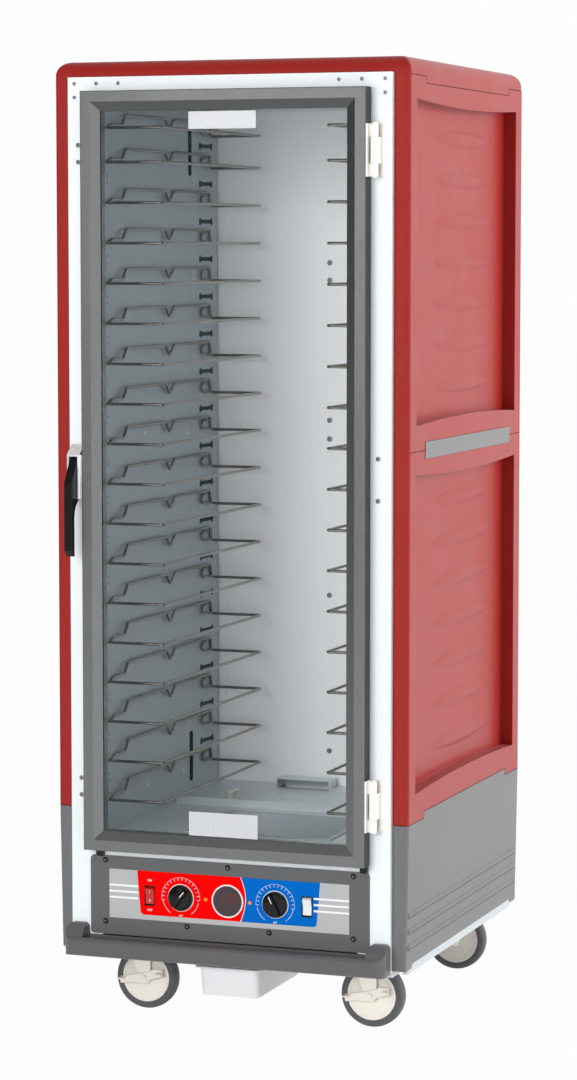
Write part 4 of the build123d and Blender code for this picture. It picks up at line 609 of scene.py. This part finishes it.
for name, text, x, z, height, bold in (("word_on", "ON", -ROCKER_X, 277, 4.2, 0.15),
                                       ("word_off", "OFF", -ROCKER_X, 220, 4.2, 0.15),
                                       ("heat_off", "OFF", -KNOB_X, 213.5, 3.2, 0.1),
                                       ("moisture_off", "OFF", KNOB_X, 213.5, 3.2, 0.1)):
    words(name, text, (x, INK_HIGH, z), height, print_white, "cabinet", bold)


# Display, switch bezels and rocker marks

BEZEL_X, BEZEL_Z = 10.6, 19.5
BEZEL_RISE = 1.5
CUP_WALL = 0.2
CUP_DEPTH = 13
bezel_parts = []
for side in SIDES:
    x = side * ROCKER_X
    for x_span, z_span in (((-BEZEL_X, -SWITCH_X), (-BEZEL_Z, BEZEL_Z)),
                           ((SWITCH_X, BEZEL_X), (-BEZEL_Z, BEZEL_Z)),
                           ((-SWITCH_X, SWITCH_X), (-BEZEL_Z, -SWITCH_Z)),
                           ((-SWITCH_X, SWITCH_X), (SWITCH_Z, BEZEL_Z))):
        bezel_parts.append(box((x + x_span[0], LABEL_Y - BEZEL_RISE, CONTROL_Z + z_span[0]),
                               (x + x_span[1], LABEL_Y, CONTROL_Z + z_span[1])))
    for wall_x in (x - SWITCH_X, x + SWITCH_X - CUP_WALL):
        bezel_parts.append(box((wall_x, LABEL_Y, CONTROL_Z - SWITCH_Z),
                               (wall_x + CUP_WALL, LABEL_Y + CUP_DEPTH, CONTROL_Z + SWITCH_Z)))
piece("switch_bezels", merged(bezel_parts), black_plastic, "cabinet", stands_for=("fascia_bezels",),
      bevel=0.35)
ring_profile = [(28.7, 0), (28.7, 2.2), (29.3, 3.0), (30.9, 3.0), (31.6, 2.2), (31.6, 0), (28.7, 0)]
piece("display_ring", lathe(ring_profile, (0, LABEL_Y, CONTROL_Z), (0, -1, 0), 96), print_white, "cabinet")

DIGIT_WIDTH, DIGIT_HEIGHT, DIGIT_STROKE = 8.0, 16.0, 1.2
DIGIT_LEFT, DIGIT_PITCH, DIGIT_DROP = -16.5, 12.0, 4.0
DIGIT_SLANT = 0.12
DIGIT_FRONT, DIGIT_BACK = LABEL_Y - 2.12, LABEL_Y - 1.9
BARS = {"a": ((0, 1), (1, 1)), "b": ((1, 1), (1, 0.5)), "c": ((1, 0.5), (1, 0)), "d": ((0, 0), (1, 0)),
        "f": ((0, 1), (0, 0.5)), "g": ((0, 0.5), (1, 0.5))}
LIT_BARS = {"1": "bc", "7": "abc", "5": "acdfg"}
digit_parts = []
for place, digit in enumerate("175"):
    left = DIGIT_LEFT + DIGIT_PITCH * place
    for letter in LIT_BARS[digit]:
        line = [(left + px * DIGIT_WIDTH + pz * DIGIT_HEIGHT * DIGIT_SLANT,
                 CONTROL_Z - DIGIT_DROP + pz * DIGIT_HEIGHT) for px, pz in BARS[letter]]
        digit_parts.append(band(line, DIGIT_STROKE, DIGIT_FRONT, DIGIT_BACK))
piece("display_digits", merged(digit_parts), digit_red, "cabinet", smooth=False)

# The power rocker is tilted, so its stroke leans with it and its ring lies further in
STROKE_OUTLINE = [(-345.7, 253.5), (-347.1, 258.0), (-346.6, 258.0), (-345.2, 253.5)]
STROKE_HALF = 0.5
OFF_RING_Z, OFF_RING_RADIUS, OFF_RING_WIDTH = 238.5, 2.2, 0.7
OFF_RING_FRONT, OFF_RING_BACK = LABEL_Y + 0.1, LABEL_Y + 0.8
stroke = prism(STROKE_OUTLINE, "x", -ROCKER_X - STROKE_HALF, -ROCKER_X + STROKE_HALF)
ring = band(arc((-ROCKER_X, OFF_RING_Z), OFF_RING_RADIUS, 0, 360, 32), OFF_RING_WIDTH, OFF_RING_FRONT,
            OFF_RING_BACK)
piece("rocker_marks", merged([stroke, ring]), print_white, "power_switch", smooth=False)


# Knobs: a skirt, a domed middle, a grip bar and a white pointer

KNOB_BACK = LABEL_Y - 0.3
KNOB_PROFILE = [(3.0, 0), (23.6, 0), (24.5, 0.6), (24.5, 3.6), (23.8, 4.4), (21.2, 5.0), (20.6, 6.6),
                (19.6, 7.4), (0, 8.2)]
GRIP_OUTLINE = [(-5.2, -21), (5.2, -21), (6.2, -17), (6.2, 14), (4.6, 20.5), (-4.6, 20.5), (-6.2, 14),
                (-6.2, -17)]
GRIP_FRONT, GRIP_BACK = -15.9, -5.0
GRIP_TAPER_X, GRIP_TAPER_Z = 0.72, 0.93
SHAFT_PROFILE = [(0, 0), (3, 0), (3, 13.6), (0, 13.6)]
POINTER_HALF = 0.8


def knob(name, node, body, centre_x, pointer):
    """A dial turned to its setting; the pointer angle is clockwise from straight up."""
    origin = (centre_x, KNOB_BACK, CONTROL_Z)
    skirt = lathe(KNOB_PROFILE, origin, (0, -1, 0), 96)
    grip = prism(GRIP_OUTLINE, "y", GRIP_FRONT, GRIP_BACK)
    for vert in grip.verts:
        if vert.co.y < (GRIP_FRONT + GRIP_BACK) / 2:
            vert.co.x *= GRIP_TAPER_X
            vert.co.z *= GRIP_TAPER_Z
    bmesh.ops.bevel(grip, geom=list(grip.edges), offset=0.9, segments=3, profile=0.6, affect="EDGES")
    shaft = lathe(SHAFT_PROFILE, origin, (0, 1, 0), 24)
    line = box((-POINTER_HALF, GRIP_FRONT - 0.15, 4.5), (POINTER_HALF, GRIP_FRONT + 0.5, 18.6))
    placed = Matrix.Translation(origin) @ Matrix.Rotation(math.radians(pointer), 4, "Y")
    for turned in (grip, line):
        bmesh.ops.transform(turned, matrix=placed, verts=turned.verts)
    piece(name, merged([skirt, grip, shaft]), black_plastic, body, stands_for=(node,))
    piece(name + "_pointer", line, print_white, body, smooth=False)


knob("heat_dial_knob", "heat_knob", "heat_dial", -KNOB_X, 40)
knob("moisture_dial_knob", "moisture_knob", "moisture_dial", KNOB_X, -25)


# Screws and rivets

PANEL_Y = -343.5
FRAME_Y = -340.0
SCREW_SPOTS = [(x, PANEL_Y, 310.9) for x in (-248.5, 0, 248.5)]
SCREW_SPOTS += [(x, PANEL_Y, 193.4) for x in (-248.5, -82.5, 82.5, 248.5)]
FRAME_SCREWS = [(-298.4, FRAME_Y, z) for z in (1659.2, 1627.8, 464.9, 432.6)]
FRAME_SCREWS += [(293.9, FRAME_Y, z) for z in (1084.5, 1007.5)]
RIVETS = [(side * x, FRAME_Y, 1773.3) for side in SIDES for x in (217.0, 261.0, 305.5)]
RIVETS += [(side * 305.5, FRAME_Y, 1748.0) for side in SIDES]

# Radius and height of each kind of head
FASCIA_HEAD, JAMB_HEAD, RIVET_HEAD = (5.2, 2.6), (4.6, 2.2), (3.6, 1.6)
fascia_heads = [dome(*FASCIA_HEAD, spot) for spot in SCREW_SPOTS]
piece("fascia_screw_heads", merged(fascia_heads), screw_black, "cabinet", stands_for=("panel_screws",))
piece("fascia_screw_recesses", crosses(SCREW_SPOTS, 2.3, 0.5, 2.55), screw_metal, "cabinet", smooth=False)
jamb_heads = [dome(*JAMB_HEAD, spot) for spot in FRAME_SCREWS] + [dome(*RIVET_HEAD, spot) for spot in RIVETS]
piece("jamb_screw_heads", merged(jamb_heads), screw_metal, "cabinet", stands_for=("frame_fasteners",))
piece("jamb_screw_recesses", crosses(FRAME_SCREWS, 2.1, 0.5, 2.15), dark_metal, "cabinet", smooth=False)


# Tray slides: bent wire with a support run, a hook at the front, a stepped rail and a curl at the rear

SLIDE_Z = [410.4 + 76.2 * row for row in range(17)]
SLIDE_Z.append(SLIDE_Z[-1] + 64.9)
RAIL_X = 274.3
REACH_X = 166
FRONT_RUN_Y, REAR_RUN_Y = -255, 281
LOW_STEP, HIGH_STEP = 7, 27
slide_route = [(REACH_X, FRONT_RUN_Y, 0), (RAIL_X, FRONT_RUN_Y, 0), (RAIL_X, -238, LOW_STEP),
               (RAIL_X, -186, LOW_STEP), (RAIL_X, -168, HIGH_STEP), (RAIL_X, 34, HIGH_STEP),
               (RAIL_X, 53, LOW_STEP), (RAIL_X, 80, HIGH_STEP), (RAIL_X, 274, HIGH_STEP),
               (RAIL_X, REAR_RUN_Y, 0), (REACH_X, REAR_RUN_Y, 0)]
hook_route = [(RAIL_X - 4, FRONT_RUN_Y, 0), (280.6, FRONT_RUN_Y, 0)]
curl_route = [(272.5, 284, 1), (275, 262, 2), (275.5, 238, 4), (275.5, 228, 11), (275.5, 238, 19),
              (275.5, 256, 20)]
for side, node in zip(SIDES, ("left_slides", "right_slides")):
    wires = []
    for z in SLIDE_Z:
        for route, radius, bend in ((slide_route, 2.9, 6), (hook_route, 2.7, 1), (curl_route, 2.6, 9)):
            points = [(side * x, y, z + rise) for x, y, rise in route]
            wires.append(bent_wire(points, radius, bend, closed=route is slide_route))
    piece(node + "_wire", merged(wires), wire_metal, "cabinet", stands_for=(node,))


# Inside the cavity: dark plates of painted shade behind the upright slots and in the air slots, plugs and
# rivet heads

WALL_X = 281
BACK_WALL_Y = 333
CAVITY_TOP = 1740
# Painted shade: dark grey plates on the side walls behind the slotted uprights, where the slots look into
# shade.
UPRIGHT_SHADE_X = (WALL_X - 0.5, WALL_X - 0.1)
UPRIGHT_SHADE_Z = (350, CAVITY_TOP)
UPRIGHT_SPANS = ((224, 305), (-270, -240))
upright_shades = [side_box(side, UPRIGHT_SHADE_X, y_span, UPRIGHT_SHADE_Z) for side in SIDES for y_span in UPRIGHT_SPANS]
piece("upright_slot_shade_plates", merged(upright_shades), upright_slot_shade, "cabinet", smooth=False)

# Painted shade: black plates in the air slots of the side walls, for the unlit duct behind them.
SLOT_Y = 182
SLOT_MIDDLES = (432, 1664)
SLOT_RADIUS, SLOT_REACH = 8, 44
air_slot_shades = []
for side in SIDES:
    for z in SLOT_MIDDLES:
        outline = (arc((SLOT_Y, z + SLOT_REACH), SLOT_RADIUS, 0, 180, 12)
                   + arc((SLOT_Y, z - SLOT_REACH), SLOT_RADIUS, 180, 360, 12))
        air_slot_shades.append(side_prism(side, outline, (WALL_X - 1, WALL_X)))
piece("air_slot_shade_plates", merged(air_slot_shades), shadow_black, "cabinet", bevel=0.3)

BUTTON_RISE = 1.8
PLUG_X, PLUG_RADIUS = -34, 5.5
PLUG_HEIGHTS = (1437.7, 1402, 1116, 1078, 756, 433)
plugs = [button((PLUG_X, BACK_WALL_Y, z), (0, -1, 0), PLUG_RADIUS, BUTTON_RISE) for z in PLUG_HEIGHTS]
piece("back_wall_plugs", merged(plugs), screw_metal, "cabinet")
WALL_SCREW_RADIUS = 4.2
WALL_SCREW_SPOTS = ((139.5, 407), (-53, 408), (-60, 1106), (164, 1094.5))
wall_screws = [button((side * WALL_X, y, z), (-side, 0, 0), WALL_SCREW_RADIUS, BUTTON_RISE)
               for side in SIDES for y, z in WALL_SCREW_SPOTS]
piece("side_wall_screws", merged(wall_screws), hinge_metal, "cabinet")


# Outside: the base's side lips, the shadow lines of the shells' seams, and fuller ribs on the skirts

# The side lips take the greyer paint: painted shade under the skirts.
flange_outline = [(-318, 127.5), (367.6, 127.5), (367.6, 134.8), (359.6, 142.8), (-285.6, 142.8),
                  (-293.6, 134.8), (-318, 134.8)]
FLANGE_X = (336, 345)
flanges = [side_prism(side, flange_outline, FLANGE_X) for side in SIDES]
piece("base_side_flanges", merged(flanges), shaded_lip_paint, "cabinet", bevel=0.8)

SHELL_X = 350
LOWER_SEAM, MIDDLE_SEAM, UPPER_SEAM = 408, 1095.5, 1781.7
SEAM_STEP = 13
SEAM_WIDTH = 1.1
SEAM_ENDS = (-325, 399)
STEP_ENDS = (-233, 307)
STRIP_ENDS = (-233.5, 322.5)
FRONT_SEAM_X, FRONT_SEAM_Y = (322, 346), (-328.15, -327.6)
front, back = SEAM_ENDS
seam_lines = []
for side in SIDES:
    runs = []
    for z, step in ((UPPER_SEAM, -SEAM_STEP), (LOWER_SEAM, SEAM_STEP)):
        runs += [[(front, z), (STEP_ENDS[0], z)], [(STEP_ENDS[0], z + step), (STEP_ENDS[1], z + step)],
                 [(STEP_ENDS[1], z), (back, z)]]
        runs += [[(y, z), (y, z + step)] for y in STEP_ENDS]
    runs += [[(front, MIDDLE_SEAM), (STRIP_ENDS[0], MIDDLE_SEAM)],
             [(STRIP_ENDS[1], MIDDLE_SEAM), (back, MIDDLE_SEAM)]]
    for run in runs:
        seam_lines.append(side_prism(side, band_outline(run, SEAM_WIDTH), (SHELL_X - 0.3, SHELL_X + 0.12)))
    seam_lines.append(side_box(side, FRONT_SEAM_X, FRONT_SEAM_Y, (LOWER_SEAM - 0.8, LOWER_SEAM + 0.6)))
piece("shell_seams", merged(seam_lines), seam_shadow, "cabinet", smooth=False)

SKIRT_HEIGHT = 273
SKIRT_DRAW = 4.5
RIB_Z = (179, 209, 239)
RIB_RADIUS = 6
RIB_RISE = 2.9
RIB_MIDDLE_Y = 37
rib_profile = [(0, -358), (4.2, -357.6), (5.7, -355), (RIB_RADIUS, -350), (RIB_RADIUS, 350), (5.7, 355),
               (4.2, 357.6), (0, 358)]
ribs = []
rib_shades = []
for side in SIDES:
    for z in RIB_Z:
        face_x = SHELL_X - SKIRT_DRAW * (LOWER_SEAM - z) / SKIRT_HEIGHT
        rib_middle = (side * (face_x + RIB_RISE - RIB_RADIUS), RIB_MIDDLE_Y, z)
        ribs.append(lathe(rib_profile, rib_middle, (0, 1, 0), 48))
        rib_shades.append(side_box(side, (face_x - 0.5, face_x + 0.1), (-320, 394), (z - 6.4, z - 4.6)))
piece("skirt_ribs", merged(ribs), grey_shell, "cabinet")
piece("skirt_rib_shades", merged(rib_shades), rib_shadow, "cabinet", smooth=False)


# Trims in the cavity's rear corners, and door stops under the door

TRIM_BACK = BACK_WALL_Y - 0.1
corner_trims = [side_box(side, x_span, (TRIM_BACK - thick, TRIM_BACK), (380, CAVITY_TOP)) for side in SIDES
                for x_span, thick in (((259, 280.6), 1), ((258.4, 260.2), 2))]
piece("corner_trims", merged(corner_trims), liner_metal, "cabinet", bevel=0.3)

CLIP_HALF = 7
CLIP_FRONT, CLIP_BACK = -352, FRAME_Y - 0.1
CLIP_LOW, CLIP_TOP = 319, 333
CLIP_MIDDLES = (-258, 270)
clips = [box((x - CLIP_HALF, CLIP_FRONT, CLIP_LOW), (x + CLIP_HALF, CLIP_BACK, CLIP_TOP))
         for x in CLIP_MIDDLES]
piece("door_stop_clips", merged(clips), black_plastic, "cabinet", bevel=1.5)


# Wheels: a tyre with a soft tread and a dished, lipped hub

WHEEL_RADIUS = 62
tyre_half = [(48, 12.5), (50, 14.2), (56, 14.8), (60, 12.2), (61.6, 8), (WHEEL_RADIUS, 3)]
tyre_profile = [(48, -12.5)] + [(r, -a) for r, a in tyre_half[1:]] + tyre_half[::-1] + [(48, -12.5)]
hub_half = [(5.1, 15.0), (10, 15.0), (12, 14.4), (13.5, 12.6), (17, 12.0), (36, 11.6), (41, 11.9),
            (43.2, 13.4), (45, 14.4), (46.8, 14.4), (48, 13.4)]
hub_profile = [(r, -a) for r, a in hub_half] + hub_half[::-1] + [(5.1, -15.0)]
WHEEL_SPOTS = {"front_left": (-215, -212), "front_right": (245, -212), "rear_left": (-215, 325),
               "rear_right": (245, 325)}
for place, (x, y) in WHEEL_SPOTS.items():
    centre = (x, y, WHEEL_RADIUS)
    piece("tyre_" + place, lathe(tyre_profile, centre, (0, 1, 0), 128), rubber, "roll_" + place,
          stands_for=("wheel_" + place,))
    piece("hub_" + place, lathe(hub_profile, centre, (0, 1, 0), 96), hub_cream, "roll_" + place)


# Floor. The camera sees it almost white, and shiny faces see it glow more further to the right.

FLOOR_HALF = 40
FLOOR_WHITENESS = 0.97
FLOOR_SHINE = 0.7
SHINE_BOOST = 0.75
SHINE_WAY = (1, 0.25, 0)
floor_mesh = bmesh.new()
bmesh.ops.create_grid(floor_mesh, x_segments=1, y_segments=1, size=FLOOR_HALF)
floor_data = bpy.data.meshes.new("floor")
floor_mesh.to_mesh(floor_data)
floor_mesh.free()
floor = bpy.data.objects.new("floor", floor_data)
bpy.context.scene.collection.objects.link(floor)


def glow_along(tree, coordinate, way, values):
    """A level that grows smoothly with how far a coordinate lies along a way."""
    place = new_node(tree, "TexCoord")
    along = new_node(tree, "VectorMath", {1: way}, "DOT_PRODUCT")
    level = new_node(tree, "MapRange", values)
    level.interpolation_type = "SMOOTHSTEP"
    tree.links.new(place.outputs[coordinate], along.inputs[0])
    tree.links.new(along.outputs["Value"], level.inputs["Value"])
    return level.outputs["Result"]


floor_paint = bpy.data.materials.new("floor_paint")
floor_paint.use_nodes = True
tree = floor_paint.node_tree
paint = tree.nodes["Principled BSDF"]
paint.inputs["Base Color"].default_value = (0.8, 0.8, 0.8, 1)
paint.inputs["Roughness"].default_value = 0.9
path = new_node(tree, "LightPath")
glow = new_node(tree, "Emission", {"Color": (1, 1, 1, 1)})
seen = new_node(tree, "Math", {1: FLOOR_WHITENESS}, "MULTIPLY")
reflected = new_node(tree, "Math", {1: FLOOR_SHINE}, "MULTIPLY_ADD")
strength = new_node(tree, "Math", {1: SHINE_BOOST, 2: 1.0}, "MULTIPLY_ADD")
shine = new_node(tree, "Math", operation="MULTIPLY")
mix = new_node(tree, "MixShader")
for output, socket in (
        (path.outputs["Is Camera Ray"], seen.inputs[0]),
        (path.outputs["Is Glossy Ray"], strength.inputs[0]),
        (strength.outputs["Value"], glow.inputs["Strength"]),
        (path.outputs["Is Glossy Ray"], shine.inputs[0]),
        (glow_along(tree, "Object", SHINE_WAY, {"From Min": -8, "From Max": 5}), shine.inputs[1]),
        (shine.outputs["Value"], reflected.inputs[0]),
        (seen.outputs["Value"], reflected.inputs[2]),
        (reflected.outputs["Value"], mix.inputs["Fac"]),
        (paint.outputs["BSDF"], mix.inputs[1]),
        (glow.outputs["Emission"], mix.inputs[2]),
        (mix.outputs["Shader"], tree.nodes["Material Output"].inputs["Surface"])):
    tree.links.new(output, socket)
floor_data.materials.append(floor_paint)


# World. It is plain to the camera and through the glass, and brighter on the right for light and for shine.

world = bpy.data.worlds.new("studio")
bpy.context.scene.world = world
world.use_nodes = True
tree = world.node_tree
tree.nodes.clear()


def backdrop_glow(way, low, high, start, stop):
    """A background that grows from low to high, by how far its direction lies along the given way."""
    glow = new_node(tree, "Background")
    level = glow_along(tree, "Generated", way,
                       {"From Min": start, "From Max": stop, "To Min": low, "To Max": high})
    tree.links.new(level, glow.inputs["Strength"])
    return glow.outputs["Background"]


path = new_node(tree, "LightPath")
plain = new_node(tree, "Background", {"Color": (0.99, 0.99, 0.99, 1)})
shiny_mix = new_node(tree, "MixShader")
seen_mix = new_node(tree, "MixShader")
seen = new_node(tree, "Math", operation="MAXIMUM")
world_output = new_node(tree, "OutputWorld")
for output, socket in (
        (path.outputs["Is Glossy Ray"], shiny_mix.inputs["Fac"]),
        (backdrop_glow((1, 0, 0), 0.24, 0.6, -0.8, 0.8), shiny_mix.inputs[1]),
        (backdrop_glow(SHINE_WAY, 0.03, 1.75, -1.1, 0.6), shiny_mix.inputs[2]),
        (path.outputs["Is Camera Ray"], seen.inputs[0]),
        (path.outputs["Is Transmission Ray"], seen.inputs[1]),
        (seen.outputs["Value"], seen_mix.inputs["Fac"]),
        (shiny_mix.outputs["Shader"], seen_mix.inputs[1]),
        (plain.outputs["Background"], seen_mix.inputs[2]),
        (seen_mix.outputs["Shader"], world_output.inputs["Surface"])):
    tree.links.new(output, socket)


# Lamps and camera. Here lengths are in metres.


def lamp(name, place, aim, size, power, mirrored=True):
    """A soft rectangular lamp that points at a place. One that isn't mirrored leaves no glare."""
    data = bpy.data.lights.new(name, "AREA")
    data.shape = "RECTANGLE"
    data.size, data.size_y = size
    data.energy = power
    made = bpy.data.objects.new(name, data)
    bpy.context.scene.collection.objects.link(made)
    made.location = place
    made.rotation_euler = (Vector(aim) - Vector(place)).to_track_quat("-Z", "Y").to_euler()
    made.visible_glossy = mirrored


lamp("side", (5.0, 1.5, 2.2), (0.35, 0, 0.9), (3.0, 4.0), 236, mirrored=False)
lamp("front", (-0.7, -7.0, 2.3), (0, 0, 0.95), (2.6, 2.6), 270, mirrored=False)
lamp("low", (0.9, -6.0, 0.5), (0.1, 0.2, 0.15), (1.6, 0.5), 26, mirrored=False)
lamp("sparkle", (-1.8, -5.6, 1.9), (0, 0, 0.9), (1.2, 1.8), 15)

PHOTO_HEIGHT = 1080
FOCAL_PIXELS = 3303.951
SENSOR_HEIGHT = 24
CAMERA_PITCH, CAMERA_TURN = 5.0973, 19.8742
camera_data = bpy.data.cameras.new("camera")
camera = bpy.data.objects.new("camera", camera_data)
bpy.context.scene.collection.objects.link(camera)
camera.location = (2.18496, -6.05339, 1.47316)
camera.rotation_euler = (math.radians(90 - CAMERA_PITCH), 0, math.radians(CAMERA_TURN))
camera_data.sensor_fit = "VERTICAL"
camera_data.sensor_height = SENSOR_HEIGHT
camera_data.lens = FOCAL_PIXELS * SENSOR_HEIGHT / PHOTO_HEIGHT
camera_data.clip_end = 100
bpy.context.scene.camera = camera
bpy.context.scene.view_settings.view_transform = "Standard"
